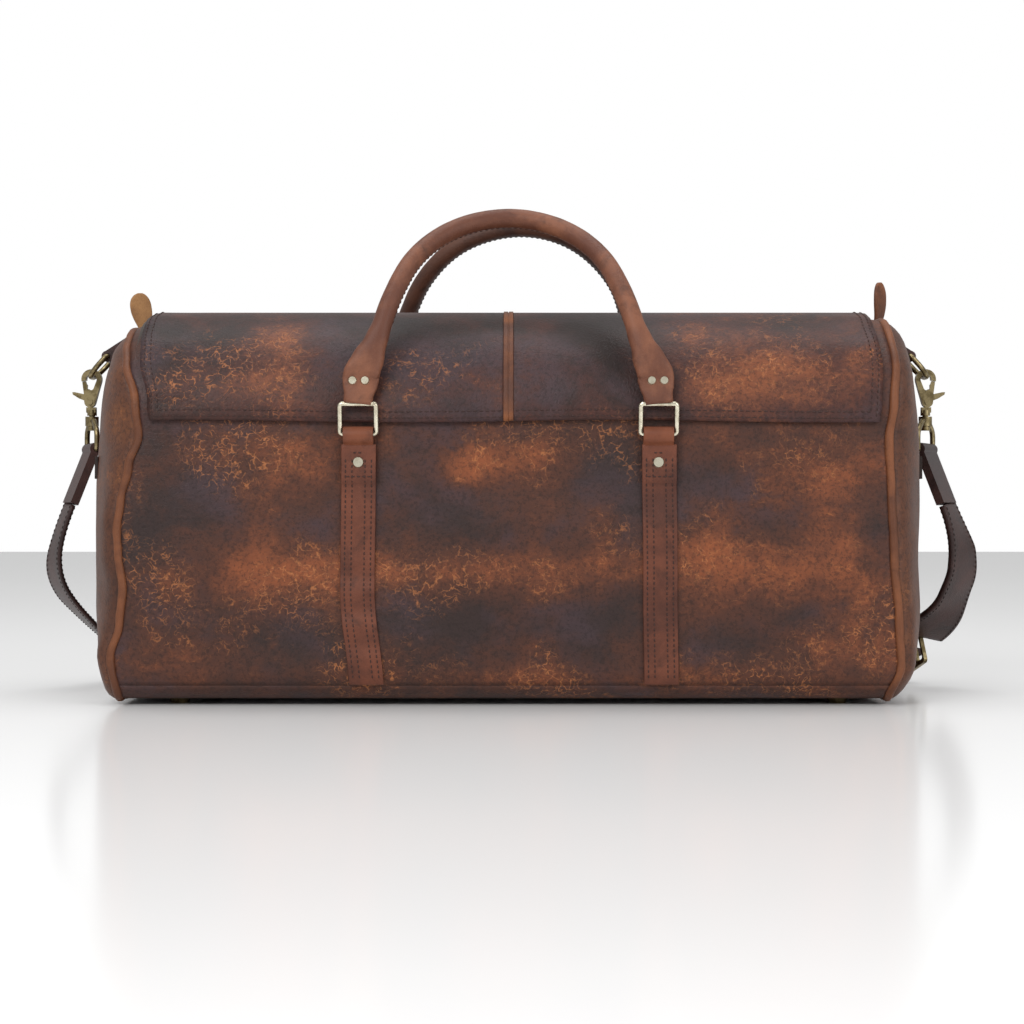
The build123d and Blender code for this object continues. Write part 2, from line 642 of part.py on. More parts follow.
    with BuildPart() as pocket_slider:
        face = cap_x + ZIP_TEETH_RISE + 0.3
        block(ordered(side * face, side * (face + 1.8)), (56, 68), (POCKET_Z - 4.5, POCKET_Z + 4.5))
        block(ordered(side * (face + 1.8), side * (face + 3.3)), (58, 66), (POCKET_Z - 24, POCKET_Z + 3))
    save(pocket_slider.part, f"{name}_pocket_slider")

# Shoulder strap ---------------------------------------------------------------------------------

with BuildPart() as shoulder_strap:
    long_length = tube(LONG_ROUTE, STRAP_TUBE_R)
save(shoulder_strap.part, "shoulder_strap")

with BuildPart() as strap_adjuster:
    adjust_length = tube(ADJUST_ROUTE, STRAP_TUBE_R)
save(strap_adjuster.part, "strap_adjuster")

buckle_from = Vector(*LONG_ROUTE[-1])
buckle_to = Vector(*ADJUST_ROUTE[0])
run = (buckle_to - buckle_from).normalized()
buckle_width = Vector(0, 0, 1) - run * run.Z
with BuildPart() as strap_buckle:
    middle = (buckle_from + buckle_to) * 0.5
    frame_plane = Plane(origin=middle, x_dir=run, z_dir=run.cross(buckle_width))
    with BuildSketch(frame_plane):
        RectangleRounded(28, 44, 3)
        for shift in (-7, 7):
            with Locations((shift, 0)):
                RectangleRounded(9, 37, 1.5, mode=Mode.SUBTRACT)
    extrude(amount=1.5, both=True)
save(strap_buckle.part, "strap_buckle")

area = math.pi * STRAP_TUBE_R ** 2
for label, strap, length in (("long", shoulder_strap, long_length), ("adjuster", strap_adjuster,
                                                                     adjust_length)):
    print(label, "tube length", round(length), "volume ratio", round(strap.part.volume / (area * length), 4))
print("radii", [round(r) for r in arc_radii(LONG_ROUTE)], [round(r) for r in arc_radii(ADJUST_ROUTE)])
print("buckle gap", round((buckle_to - buckle_from).length, 1))
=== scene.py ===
import bpy
import math
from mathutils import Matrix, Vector, noise


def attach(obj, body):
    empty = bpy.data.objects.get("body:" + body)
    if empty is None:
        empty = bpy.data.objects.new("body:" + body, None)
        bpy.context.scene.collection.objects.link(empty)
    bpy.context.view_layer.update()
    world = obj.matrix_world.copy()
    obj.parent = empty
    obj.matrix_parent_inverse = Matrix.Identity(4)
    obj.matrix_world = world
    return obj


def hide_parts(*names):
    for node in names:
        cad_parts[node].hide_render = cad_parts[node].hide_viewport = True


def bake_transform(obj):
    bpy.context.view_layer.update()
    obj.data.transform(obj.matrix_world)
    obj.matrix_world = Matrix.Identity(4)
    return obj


# A leather duffel bag. Lengths in this file are in millimetres until a mesh is made.
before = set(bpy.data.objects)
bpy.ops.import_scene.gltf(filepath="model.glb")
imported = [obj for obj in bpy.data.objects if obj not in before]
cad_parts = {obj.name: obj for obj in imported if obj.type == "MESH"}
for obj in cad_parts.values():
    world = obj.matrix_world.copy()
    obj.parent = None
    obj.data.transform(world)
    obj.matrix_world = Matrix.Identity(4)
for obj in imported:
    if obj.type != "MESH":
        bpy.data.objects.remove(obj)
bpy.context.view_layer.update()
MM = 0.001

# Body section, as the CAD has it
HALF_DEPTH = 125.0
BODY_TOP = 276.0
FOOT_HEIGHT = 4.0
TOP_R = 75.0
LOW_R = 20.0
SEAM_X = 266.0
DOME_LENGTH = 34.0
DOME_INSET = 75.0
FLAP_EDGE_Z = 198.0
FLAP_HALF = 254.0
MOUTH_Y = 46.0
ANCHOR_X = 104.0
RING_Y = 131.3
RING_Z = 189.0
RING_RISE = 21.0
RING_TILT = math.radians(12.0)
THREAD_R = 0.42


# Shape tools ------------------------------------------------------------------------------------

def smooth(low, high, value):
    """0 below `low`, 1 above `high`, and a smooth step between."""
    t = min(max((value - low) / (high - low), 0.0), 1.0)
    return t * t * (3.0 - 2.0 * t)


def curve_at(points, value):
    """Smooth interpolation in a short list of (place, amount)."""
    if value <= points[0][0]:
        return points[0][1]
    for (a, low), (b, high) in zip(points, points[1:]):
        if value <= b:
            return low + (high - low) * smooth(a, b, value)
    return points[-1][1]


def outline(s, inset=0.0):
    """Point and outward normal (y, z, ny, nz) of the body section, s mm round from the bottom's middle,
    up the front, over the top and down the back."""
    runs = (HALF_DEPTH - LOW_R, LOW_R * math.pi / 2, BODY_TOP - FOOT_HEIGHT - TOP_R - LOW_R,
            TOP_R * math.pi / 2, HALF_DEPTH - TOP_R)
    half = sum(runs)
    s = s % (2 * half)
    mirror = s > half
    if mirror:
        s = 2 * half - s
    side = HALF_DEPTH - inset
    floor = FOOT_HEIGHT + inset
    top = BODY_TOP - inset
    low_r = LOW_R + 0.35 * inset
    top_r = TOP_R - 0.45 * inset
    index = 0
    while index < 4 and s > runs[index]:
        s -= runs[index]
        index += 1
    f = min(s / runs[index], 1.0)
    if index == 0:
        y, z, ny, nz = -(side - low_r) * f, floor, 0.0, -1.0
    elif index == 1:
        a = f * math.pi / 2
        ny, nz = -math.sin(a), -math.cos(a)
        y, z = -(side - low_r) + low_r * ny, floor + low_r + low_r * nz
    elif index == 2:
        y, z, ny, nz = -side, floor + low_r + (top - top_r - floor - low_r) * f, -1.0, 0.0
    elif index == 3:
        a = f * math.pi / 2
        ny, nz = -math.cos(a), math.sin(a)
        y, z = -(side - top_r) + top_r * ny, top - top_r + top_r * nz
    else:
        y, z, ny, nz = -(side - top_r) * (1 - f), top, 0.0, 1.0
    if mirror:
        y, ny = -y, -ny
    return y, z, ny, nz


LOW_END = HALF_DEPTH - LOW_R
WALL_START = LOW_END + LOW_R * math.pi / 2
WALL_END = WALL_START + BODY_TOP - FOOT_HEIGHT - TOP_R - LOW_R
TOP_START = WALL_END + TOP_R * math.pi / 2
CREST = TOP_START + HALF_DEPTH - TOP_R
SEAM_S = LOW_END + LOW_R * 1.05
MOUTH_S = CREST - MOUTH_Y

# How far the end seams stand out or in, as (height, amount outward)
LEFT_WAVE = ((6, 7.0), (34, 11.0), (57, 4.5), (82, 2.0), (105, 5.0), (123, 6.0), (141, 3.5), (167, -2.0),
             (187, -9.0), (211, -6.5), (244, 1.5), (262, 4.0))
RIGHT_WAVE = ((6, 0.0), (28, 7.0), (60, 5.5), (100, 2.0), (150, 0.0), (186, -1.5), (211, 2.0),
              (240, 5.0), (268, 4.0))
SHOULDER = {-1: 12.0, 1: 3.0}


def sag(x, y, z):
    """How the leather body strays from its pattern at a point: a slack, slightly dented wall."""
    side = -1 if x < 0 else 1
    wave = side * curve_at(LEFT_WAVE if x < 0 else RIGHT_WAVE, z) * smooth(150, 264, abs(x))
    wave *= 1 - smooth(272, 296, abs(x))
    near_rings = math.exp(-((abs(x) - ANCHOR_X) / 22.0) ** 2) * smooth(120, 150, z)
    slack = (1.0 - 0.85 * near_rings) * (1.0 - 0.8 * smooth(262, 274, z)) * smooth(5, 26, z)
    big = noise.noise(Vector((x / 95.0, y / 120.0, z / 80.0)))
    small = noise.noise(Vector((x / 34.0 + 9.1, y / 40.0, z / 28.0)))
    belly = 2.4 * math.sin(math.pi * min(max(z / 250.0, 0.0), 1.0)) * math.cos(math.pi * x / 620.0)
    push = y / HALF_DEPTH * slack * (belly + 2.4 * big + 0.7 * small)
    drop = -SHOULDER[side] * smooth(246, 276, abs(x)) * smooth(215, 270, z)
    return Vector((wave, push, drop))


def on_bag(x, s, lift=0.0, inset=0.0):
    """A point on the sagging body, `lift` mm out from its leather face."""
    y, z, ny, nz = outline(s, inset)
    place = Vector((x, y + ny * lift, z + nz * lift))
    return place + sag(x, y, z)


def new_object(name, verts, faces, material=None, flat=False):
    """A mesh object from millimetre points."""
    mesh = bpy.data.meshes.new(name)
    mesh.from_pydata([tuple(c * MM for c in v) for v in verts], [], faces)
    mesh.validate()
    mesh.update()
    obj = bpy.data.objects.new(name, mesh)
    bpy.context.scene.collection.objects.link(obj)
    for polygon in mesh.polygons:
        polygon.use_smooth = not flat
    if material:
        mesh.materials.append(material)
    return obj


def grid_faces(rows, columns, offset=0, flip=False):
    faces = []
    for i in range(rows - 1):
        for j in range(columns - 1):
            a = offset + i * columns + j
            quad = (a, a + 1, a + columns + 1, a + columns)
            faces.append(quad[::-1] if flip else quad)
    return faces


def slab(name, surface, us, vs, low, high, material, patches=None):
    """A closed sheet of leather between two lifts above a surface(u, v, lift)."""
    rows, columns = len(us), len(vs)
    verts = [surface(u, v, high) for u in us for v in vs]
    verts += [surface(u, v, low) for u in us for v in vs]
    count = rows * columns
    faces = grid_faces(rows, columns) + grid_faces(rows, columns, count, flip=True)
    for i in range(rows - 1):
        for j in (0, columns - 1):
            a, b = i * columns + j, (i + 1) * columns + j
            quad = (a, b, b + count, a + count)
            faces.append(quad if j == 0 else quad[::-1])
    for j in range(columns - 1):
        for i in (0, rows - 1):
            a, b = i * columns + j, i * columns + j + 1
            quad = (b, a, a + count, b + count)
            faces.append(quad if i == 0 else quad[::-1])
    obj = new_object(name, verts, faces, material)
    if patches is not None:
        paint(obj, [patch_amount(u, v, patches) for u in us for v in vs] * 2)
    if signed_volume(obj.data) < 0:
        obj.data.flip_normals()
    return obj


def signed_volume(mesh):
    total = 0.0
    mesh.calc_loop_triangles()
    for tri in mesh.loop_triangles:
        a, b, c = (mesh.vertices[i].co for i in tri.vertices)
        total += a.dot(b.cross(c))
    return total


def round_edges(obj, width, segments=2, angle=40.0):
    """Bevel the sharp edges of a mesh and keep the result."""
    bevel = obj.modifiers.new("bevel", "BEVEL")
    bevel.width = width * MM
    bevel.segments = segments
    bevel.limit_method = "ANGLE"
    bevel.angle_limit = math.radians(angle)
    return apply_modifiers(obj)


def apply_modifiers(obj):
    graph = bpy.context.evaluated_depsgraph_get()
    mesh = bpy.data.meshes.new_from_object(obj.evaluated_get(graph))
    old = obj.data
    obj.modifiers.clear()
    obj.data = mesh
    bpy.data.meshes.remove(old)
    for polygon in mesh.polygons:
        polygon.use_smooth = True
    return obj


def span(low, high, step):
    count = max(int(round(abs(high - low) / step)), 1)
    return [low + (high - low) * i / count for i in range(count + 1)]


def frames(path, side_hint):
    """Tangent, side and up vectors along a path, the side turning with the hint's."""
    result = []
    for i, point in enumerate(path):
        before, after = path[max(i - 1, 0)], path[min(i + 1, len(path) - 1)]
        along = (after - before).normalized()
        hint = side_hint(i / (len(path) - 1))
        side = (hint - along * hint.dot(along)).normalized()
        result.append((along, side, along.cross(side)))
    return result


def sweep(name, path, side_hint, section, material, closed=False):
    """Sweep a closed section(t) of (side, up) points along a path."""
    verts = []
    rings = frames(path, side_hint)
    for i, (point, (along, side, up)) in enumerate(zip(path, rings)):
        for a, b in section(i / (len(path) - 1)):
            verts.append(point + side * a + up * b)
    count = len(section(0.0))
    faces = []
    for i in range(len(path) - (0 if closed else 1)):
        for j in range(count):
            a = i * count + j
            b = i * count + (j + 1) % count
            c = ((i + 1) % len(path)) * count
            faces.append((a, b, c + (j + 1) % count, c + j))
    if not closed:
        faces.append(tuple(range(count))[::-1])
        faces.append(tuple((len(path) - 1) * count + j for j in range(count)))
    obj = new_object(name, verts, faces, material)
    if signed_volume(obj.data) < 0:
        obj.data.flip_normals()
    return obj


def catmull(points, step=3.0):
    """A smooth line through chosen points."""
    points = [Vector(p) for p in points]
    ends = [points[0] * 2 - points[1]] + points + [points[-1] * 2 - points[-2]]
    line = []
    for a, b, c, d in zip(ends, ends[1:], ends[2:], ends[3:]):
        count = max(int((c - b).length / step), 2)
        for i in range(count):
            t = i / count
            line.append(0.5 * (2 * b + (c - a) * t + (2 * a - 5 * b + 4 * c - d) * t * t
                               + (3 * b - a - 3 * c + d) * t ** 3))
    line.append(points[-1])
    return line


def ellipse(width, height, count=20):
    return [(width / 2 * math.cos(2 * math.pi * k / count), height / 2 * math.sin(2 * math.pi * k / count))
            for k in range(count)]


def flat_section(width, thick, round_off=0.45, count=6):
    """A strap's section: flat faces with rolled edges."""
    r = thick * round_off
    points = []
    for cx, cy, start in ((width / 2 - r, thick / 2 - r, 0), (-width / 2 + r, thick / 2 - r, 90),
                          (-width / 2 + r, -thick / 2 + r, 180), (width / 2 - r, -thick / 2 + r, 270)):
        for k in range(count):
            a = math.radians(start + 90 * k / (count - 1))
            points.append((cx + r * math.cos(a), cy + r * math.sin(a)))
    return points


def stitches(name, rows, material, pitch=4.2, length=2.9, radius=THREAD_R):
    """Thread laid along rows of (point, normal): one small rounded lens for each stitch."""
    verts, faces = [], []
    around, rings = 6, 5
    for row in rows:
        distance = [0.0]
        for (p, _), (q, _) in zip(row, row[1:]):
            distance.append(distance[-1] + (q - p).length)
        place, index = pitch / 2, 0
        while place < distance[-1] - length / 2:
            while index < len(row) - 2 and distance[index + 1] < place:
                index += 1
            t = (place - distance[index]) / max(distance[index + 1] - distance[index], 1e-6)
            (p, n), (q, m) = row[index], row[index + 1]
            centre, normal = p.lerp(q, t), n.lerp(m, t).normalized()
            along = (q - p).normalized()
            across = normal.cross(along).normalized()
            base = len(verts)
            for r in range(rings):
                u = -1 + 2 * r / (rings - 1)
                swell = radius * (0.35 + 0.65 * math.sqrt(max(1 - u * u, 0.0)))
                middle = centre + along * (u * length / 2) + normal * (radius * 0.9 * (1 - u * u) - 0.15)
                for k in range(around):
                    a = 2 * math.pi * k / around
                    verts.append(middle + across * (swell * math.cos(a)) + normal * (swell * math.sin(a)))
            for r in range(rings - 1):
                for k in range(around):
                    a, b = base + r * around + k, base + r * around + (k + 1) % around
                    faces.append((a, b, b + around, a + around))
            faces.append(tuple(base + k for k in range(around))[::-1])
            faces.append(tuple(base + (rings - 1) * around + k for k in range(around)))
            place += pitch
    return new_object(name, verts, faces, material)


# Rubbed and dark places -------------------------------------------------------------------------

# (x, s, half width, half height, amount): rubbed orange above 0, dark and waxy below
FRONT_PATCHES = (
    (-6, 283, 34, 13, 1.1), (-35, 273, 18, 10, 0.6), (30, 290, 22, 8, 0.6), (8, 206, 92, 13, 1.0),
    (64, 243, 13, 26, 0.8), (-155, 282, 42, 22, 0.7), (-215, 287, 22, 10, 0.4), (-150, 206, 60, 17, 1.0),
    (-178, 232, 14, 30, 0.6), (-225, 150, 44, 18, 0.75), (-236, 200, 26, 18, 0.7), (210, 268, 52, 26, 0.85),
    (205, 208, 66, 24, 1.0), (138, 222, 20, 12, 0.6), (240, 154, 32, 14, 0.7), (120, 178, 22, 14, 0.5),
    (40, 132, 110, 7, 0.55), (-90, 134, 60, 6, 0.3), (-45, 252, 34, 24, -0.8), (-55, 174, 46, 19, -1.1),
    (66, 172, 48, 18, -1.1), (76, 270, 30, 20, -0.9), (-252, 222, 15, 20, -1.0), (-215, 256, 34, 24, -0.9),
    (-110, 240, 24, 20, -0.5), (-150, 156, 40, 17, -0.9), (148, 268, 24, 16, -0.9), (156, 158, 28, 12, -0.7),
    (205, 176, 24, 8, -0.6), (180, 238, 20, 10, -0.6), (0, 232, 40, 10, -0.5), (254, 238, 10, 26, -0.6),
)
FLAP_PATCHES = (
    (-152, 372, 30, 24, 1.0), (-178, 335, 42, 10, 0.7), (-100, 340, 26, 14, 0.4), (-215, 388, 36, 22, -1.0),
    (-225, 345, 22, 16, -0.3), (-118, 380, 26, 30, -0.7), (-50, 375, 38, 34, -1.0), (-20, 335, 26, 14, 0.35),
    (18, 385, 12, 30, 0.3), (60, 385, 44, 26, -1.1), (40, 330, 46, 13, -0.2), (128, 366, 26, 34, 0.7),
    (178, 392, 44, 14, -0.5), (196, 340, 58, 20, 1.0), (150, 330, 26, 10, 0.4), (238, 380, 16, 26, 0.4),
)


def patch_amount(x, s, patches):
    """How rubbed the leather is at a place: below 0 is dark, above 0 is orange."""
    total = 0.0
    for px, ps, width, height, amount in patches:
        d = ((x - px) / width) ** 2 + ((s - ps) / height) ** 2
        if d < 9.0:
            total += amount * math.exp(-0.8 * d)
    return total


def paint(obj, amounts):
    """Keep one rubbed amount for each vertex, for the leather's nodes."""
    layer = obj.data.attributes.new("rubbed", "FLOAT", "POINT")
    layer.data.foreach_set("value", amounts)


# Materials --------------------------------------------------------------------------------------

def colour(text):
    """A linear colour from an sRGB hex code."""
    values = [int(text[i:i + 2], 16) / 255 for i in (1, 3, 5)]
    return tuple(v / 12.92 if v <= 0.04045 else ((v + 0.055) / 1.055) ** 2.4 for v in values) + (1.0,)


class Nodes:
    """Short calls for building one material's node tree."""

    def __init__(self, name):
        self.material = bpy.data.materials.new(name)
        self.material.use_nodes = True
        self.tree = self.material.node_tree
        self.shader = self.tree.nodes["Principled BSDF"]
        self.place = self.add("ShaderNodeTexCoord").outputs["Object"]

    def add(self, kind, **settings):
        node = self.tree.nodes.new(kind)
        for key, value in settings.items():
            setattr(node, key, value)
        return node

    def link(self, source, target):
        self.tree.links.new(source, target)

    def feed(self, socket, value):
        if isinstance(value, bpy.types.NodeSocket):
            self.link(value, socket)
        else:
            socket.default_value = value

    def scaled(self, size=(1, 1, 1), turn=(0, 0, 0), shift=(0, 0, 0), source=None):
        node = self.add("ShaderNodeMapping")
        node.inputs["Scale"].default_value = size
        node.inputs["Rotation"].default_value = turn
        node.inputs["Location"].default_value = shift
        self.link(source or self.place, node.inputs["Vector"])
        return node.outputs["Vector"]

    def warped(self, amount, scale, source=None):
        """The place, pushed about by a noise."""
        base = source or self.place
        push = self.add("ShaderNodeTexNoise")
        push.inputs["Scale"].default_value = scale
        push.inputs["Detail"].default_value = 2
        self.link(base, push.inputs["Vector"])
        centred = self.add("ShaderNodeVectorMath", operation="SUBTRACT")
        self.link(push.outputs["Color"], centred.inputs[0])
        centred.inputs[1].default_value = (0.5, 0.5, 0.5)
        scaled = self.add("ShaderNodeVectorMath", operation="SCALE")
        self.link(centred.outputs[0], scaled.inputs[0])
        scaled.inputs["Scale"].default_value = amount
        total = self.add("ShaderNodeVectorMath", operation="ADD")
        self.link(base, total.inputs[0])
        self.link(scaled.outputs[0], total.inputs[1])
        return total.outputs[0]

    def noise(self, scale, detail=4, rough=0.55, source=None, distortion=0.0):
        node = self.add("ShaderNodeTexNoise")
        node.inputs["Scale"].default_value = scale
        node.inputs["Detail"].default_value = detail
        node.inputs["Roughness"].default_value = rough
        node.inputs["Distortion"].default_value = distortion
        self.link(source or self.place, node.inputs["Vector"])
        return node.outputs["Fac"]

    def cells(self, scale, feature="F1", source=None, randomness=1.0):
        node = self.add("ShaderNodeTexVoronoi", feature=feature)
        node.inputs["Scale"].default_value = scale
        node.inputs["Randomness"].default_value = randomness
        self.link(source or self.place, node.inputs["Vector"])
        return node.outputs["Distance"]

    def ramp(self, value, low, high, flip=False):
        """0 to 1 as value goes from low to high."""
        node = self.add("ShaderNodeMapRange", interpolation_type="SMOOTHSTEP")
        self.link(value, node.inputs["Value"])
        node.inputs["From Min"].default_value = low
        node.inputs["From Max"].default_value = high
        node.inputs["To Min"].default_value = 1.0 if flip else 0.0
        node.inputs["To Max"].default_value = 0.0 if flip else 1.0
        return node.outputs["Result"]

    def span(self, value, low, high):
        """Map 0..1 to a range."""
        node = self.add("ShaderNodeMapRange")
        self.link(value, node.inputs["Value"])
        node.inputs["To Min"].default_value = low
        node.inputs["To Max"].default_value = high
        return node.outputs["Result"]

    def math(self, operation, a, b=0.0):
        node = self.add("ShaderNodeMath", operation=operation)
        self.feed(node.inputs[0], a)
        self.feed(node.inputs[1], b)
        return node.outputs[0]

    def mix(self, factor, a, b, kind="MIX"):
        node = self.add("ShaderNodeMix", data_type="RGBA", blend_type=kind)
        self.feed(node.inputs[0], factor)
        self.feed(node.inputs[6], a)
        self.feed(node.inputs[7], b)
        return node.outputs[2]

    def bump(self, height, strength, distance, normal=None):
        node = self.add("ShaderNodeBump")
        node.inputs["Strength"].default_value = strength
        node.inputs["Distance"].default_value = distance * MM
        self.link(height, node.inputs["Height"])
        if normal is not None:
            self.link(normal, node.inputs["Normal"])
        return node.outputs["Normal"]

    def finish(self, base, roughness, normal=None, **constants):
        self.feed(self.shader.inputs["Base Color"], base)
        self.feed(self.shader.inputs["Roughness"], roughness)
        if normal is not None:
            self.link(normal, self.shader.inputs["Normal"])
        for key, value in constants.items():
            self.shader.inputs[key.replace("_", " ")].default_value = value
        return self.material


def pulled_up_leather(name, dark, mid, rust, painted_sheen, shift=(0, 0, 0), lean=0.0, veins=1.0,
                      roughness=(0.36, 0.58)):
    """Waxed pull-up leather: dark and rust clouds, painted violet-grey sheen standing in for reflected light,
    paler scuffed streaks, crease veins and a fine grain.
    """
    n = Nodes(name)
    place = n.scaled(shift=shift)
    drift = n.warped(0.05, 9.0, place)
    rubbed = n.add("ShaderNodeAttribute", attribute_name="rubbed").outputs["Fac"]
    clouds = n.noise(12.0, 9, 0.68, drift)
    streaks = n.noise(26.0, 9, 0.68, n.scaled((0.85, 1, 1.6), source=n.warped(0.05, 18.0, place)))
    feather = n.noise(70.0, 9, 0.72, n.warped(0.03, 40.0, place))
    mixed = n.math("ADD", n.math("MULTIPLY", n.math("SUBTRACT", clouds, 0.5), 2.6),
                   n.math("MULTIPLY", n.math("SUBTRACT", streaks, 0.5), 2.2))
    mixed = n.math("ADD", mixed, n.math("MULTIPLY", n.math("SUBTRACT", feather, 0.5), 1.3))
    amount = n.math("ADD", n.math("ADD", n.math("MULTIPLY", rubbed, 0.85), lean), mixed)
    base = n.mix(n.ramp(amount, -0.95, 0.45), dark, mid)
    orange = n.ramp(amount, 0.10, 1.55)
    base = n.mix(n.math("MULTIPLY", orange, 0.92), base, rust)
    # painted sheen: violet-grey patches of reflected light mixed into the colour where the leather is not
    # rubbed
    sheen_spot_place = n.scaled((1, 1, 1.3), shift=(7.7, 2.2, 0.4), source=drift)
    painted_sheen_mask = n.ramp(n.noise(13.0, 6, 0.6, sheen_spot_place), 0.46, 0.68)
    base = n.mix(n.math("MULTIPLY", n.math("MULTIPLY", painted_sheen_mask, n.ramp(amount, 0.5, -0.3)), 0.55), base, painted_sheen)
    # crease veins, finer and brighter inside the rubbed patches
    crazed = n.cells(170.0, "DISTANCE_TO_EDGE", n.warped(0.035, 26.0, n.warped(0.012, 130.0, place)))
    line = n.ramp(crazed, 0.0, 0.10, flip=True)
    where = n.ramp(n.math("ADD", n.noise(12.0, 4, 0.55, n.scaled(shift=(1.2, 8.4, 2.6), source=drift)),
                          n.math("MULTIPLY", amount, 0.10)), 0.50, 0.68)
    broken = n.ramp(n.noise(160.0, 5, 0.7, place), 0.42, 0.60)
    vein = n.math("MULTIPLY", n.math("MULTIPLY", n.math("MULTIPLY", line, where), broken), 0.8 * veins)
    base = n.mix(vein, base, colour("#a5673c"))
    drawn_out = n.scaled((0.5, 1, 2.2), source=n.warped(0.03, 50.0, place))
    scuffs = n.ramp(n.noise(150.0, 9, 0.78, drawn_out), 0.56, 0.72)
    base = n.mix(n.math("MULTIPLY", n.math("MULTIPLY", scuffs, n.ramp(amount, -0.3, 0.9)), 0.5), base,
                 colour("#b9713f"))
    specks = n.ramp(n.noise(380.0, 5, 0.7, place), 0.38, 0.52, flip=True)
    base = n.mix(n.math("MULTIPLY", specks, 0.45), base, colour("#1d1311"))
    pebble = n.cells(330.0, "DISTANCE_TO_EDGE", n.warped(0.008, 150.0, place))
    grain = n.math("ADD", n.math("MULTIPLY", n.cells(720.0, "F1", n.warped(0.004, 300.0, place)), 0.35),
                   n.math("MULTIPLY", n.ramp(pebble, 0.0, 0.25), 0.65))
    normal = n.bump(grain, 0.35, 0.35)
    normal = n.bump(n.math("SUBTRACT", streaks, n.math("MULTIPLY", vein, 0.5)), 0.35, 1.3, normal)
    gloss = n.math("ADD", n.span(clouds, *roughness), n.math("MULTIPLY", scuffs, 0.10))
    return n.finish(base, gloss, normal, Specular_IOR_Level=0.26)


def plain_leather(name, base, pale, deep, grain=1.0, roughness=(0.4, 0.62), scale=1.0):
    """Evenly dyed leather with worn, paler places and a fine grain."""
    n = Nodes(name)
    drift = n.warped(0.04, 18.0)
    worn = n.noise(24.0 * scale, 6, 0.62, drift)
    colour_mix = n.mix(n.ramp(worn, 0.36, 0.68), base, pale)
    colour_mix = n.mix(n.math("MULTIPLY", n.ramp(n.noise(60.0 * scale, 5, 0.6, drift), 0.52, 0.75), 0.6),
                       colour_mix, deep)
    pores = n.cells(900.0, "F1", n.warped(0.003, 300.0))
    pebble = n.cells(420.0, "DISTANCE_TO_EDGE", n.warped(0.006, 180.0))
    height = n.math("ADD", n.math("MULTIPLY", pores, 0.4), n.math("MULTIPLY", n.ramp(pebble, 0, 0.25), 0.6))
    normal = n.bump(height, 0.35 * grain, 0.3)
    normal = n.bump(worn, 0.25, 0.9, normal)
    return n.finish(colour_mix, n.span(worn, *roughness), normal, Specular_IOR_Level=0.28)


def metal(name, bright, dull, roughness=(0.16, 0.38), scale=1.0):
    """Plated metal with dull places and faint scratches."""
    n = Nodes(name)
    wear = n.noise(140.0 * scale, 5, 0.65)
    scratches = n.noise(900.0, 3, 0.7, n.scaled((1, 1, 0.15)))
    base = n.mix(n.ramp(wear, 0.40, 0.66), bright, dull)
    normal = n.bump(n.math("ADD", wear, n.math("MULTIPLY", scratches, 0.3)), 0.12, 0.2)
    return n.finish(base, n.span(wear, *roughness), normal, Metallic=1.0)


def thread(name, base, pale):
    """Waxed twisted thread."""
    n = Nodes(name)
    twist = n.noise(1500.0, 2, 0.5)
    return n.finish(n.mix(twist, base, pale), 0.7, n.bump(twist, 0.5, 0.2))


def cloth(name, base, pale, pitch=0.9):
    """Plain woven cloth: two crossed rows of threads."""
    n = Nodes(name)
    rate = 1000.0 / pitch
    waves = []
    for direction in ("X", "Z"):
        wave = n.add("ShaderNodeTexWave", bands_direction=direction)
        wave.inputs["Scale"].default_value = rate / 6.28
        n.link(n.place, wave.inputs["Vector"])
        waves.append(wave.outputs["Fac"])
    weave = n.math("MULTIPLY", waves[0], waves[1])
    tone = n.math("ADD", n.math("MULTIPLY", weave, 0.6), n.math("MULTIPLY", n.noise(90.0, 4), 0.4))
    return n.finish(n.mix(tone, base, pale), 0.85, n.bump(weave, 0.4, 0.3), Sheen_Weight=0.15)


# The fourth colour of each pulled-up leather below is painted sheen: violet-grey reflected light mixed into
# the base colour.
DARK = colour("#2f2220")
MID = colour("#4c2c20")
RUST = colour("#86492a")
PAINTED_SHEEN = colour("#43343a")
BODY_LEATHER = pulled_up_leather("body_leather", DARK, MID, RUST, PAINTED_SHEEN)
FLAP_LEATHER = pulled_up_leather("flap_leather", colour("#231816"), colour("#432620"), colour("#80482b"),
                                 colour("#42343a"), shift=(0.37, 0.21, 0.55))
END_LEATHER = pulled_up_leather("end_leather", colour("#38221a"), colour("#563424"), colour("#7c4c2b"),
                                colour("#5d4238"), shift=(0.9, 0.1, 0.3), lean=0.1, veins=0.4)
PIPING_LEATHER = plain_leather("piping_leather", colour("#57321f"), colour("#7a492c"), colour("#351e14"))
STRAP_LEATHER = plain_leather("anchor_leather", colour("#4a281d"), colour("#693a28"), colour("#2f1b15"))
LOOP_LEATHER = plain_leather("loop_leather", colour("#5a2f20"), colour("#75422b"), colour("#331c15"))
HANDLE_LEATHER = plain_leather("handle_leather", colour("#5a3527"), colour("#7d4f39"), colour("#33201a"))
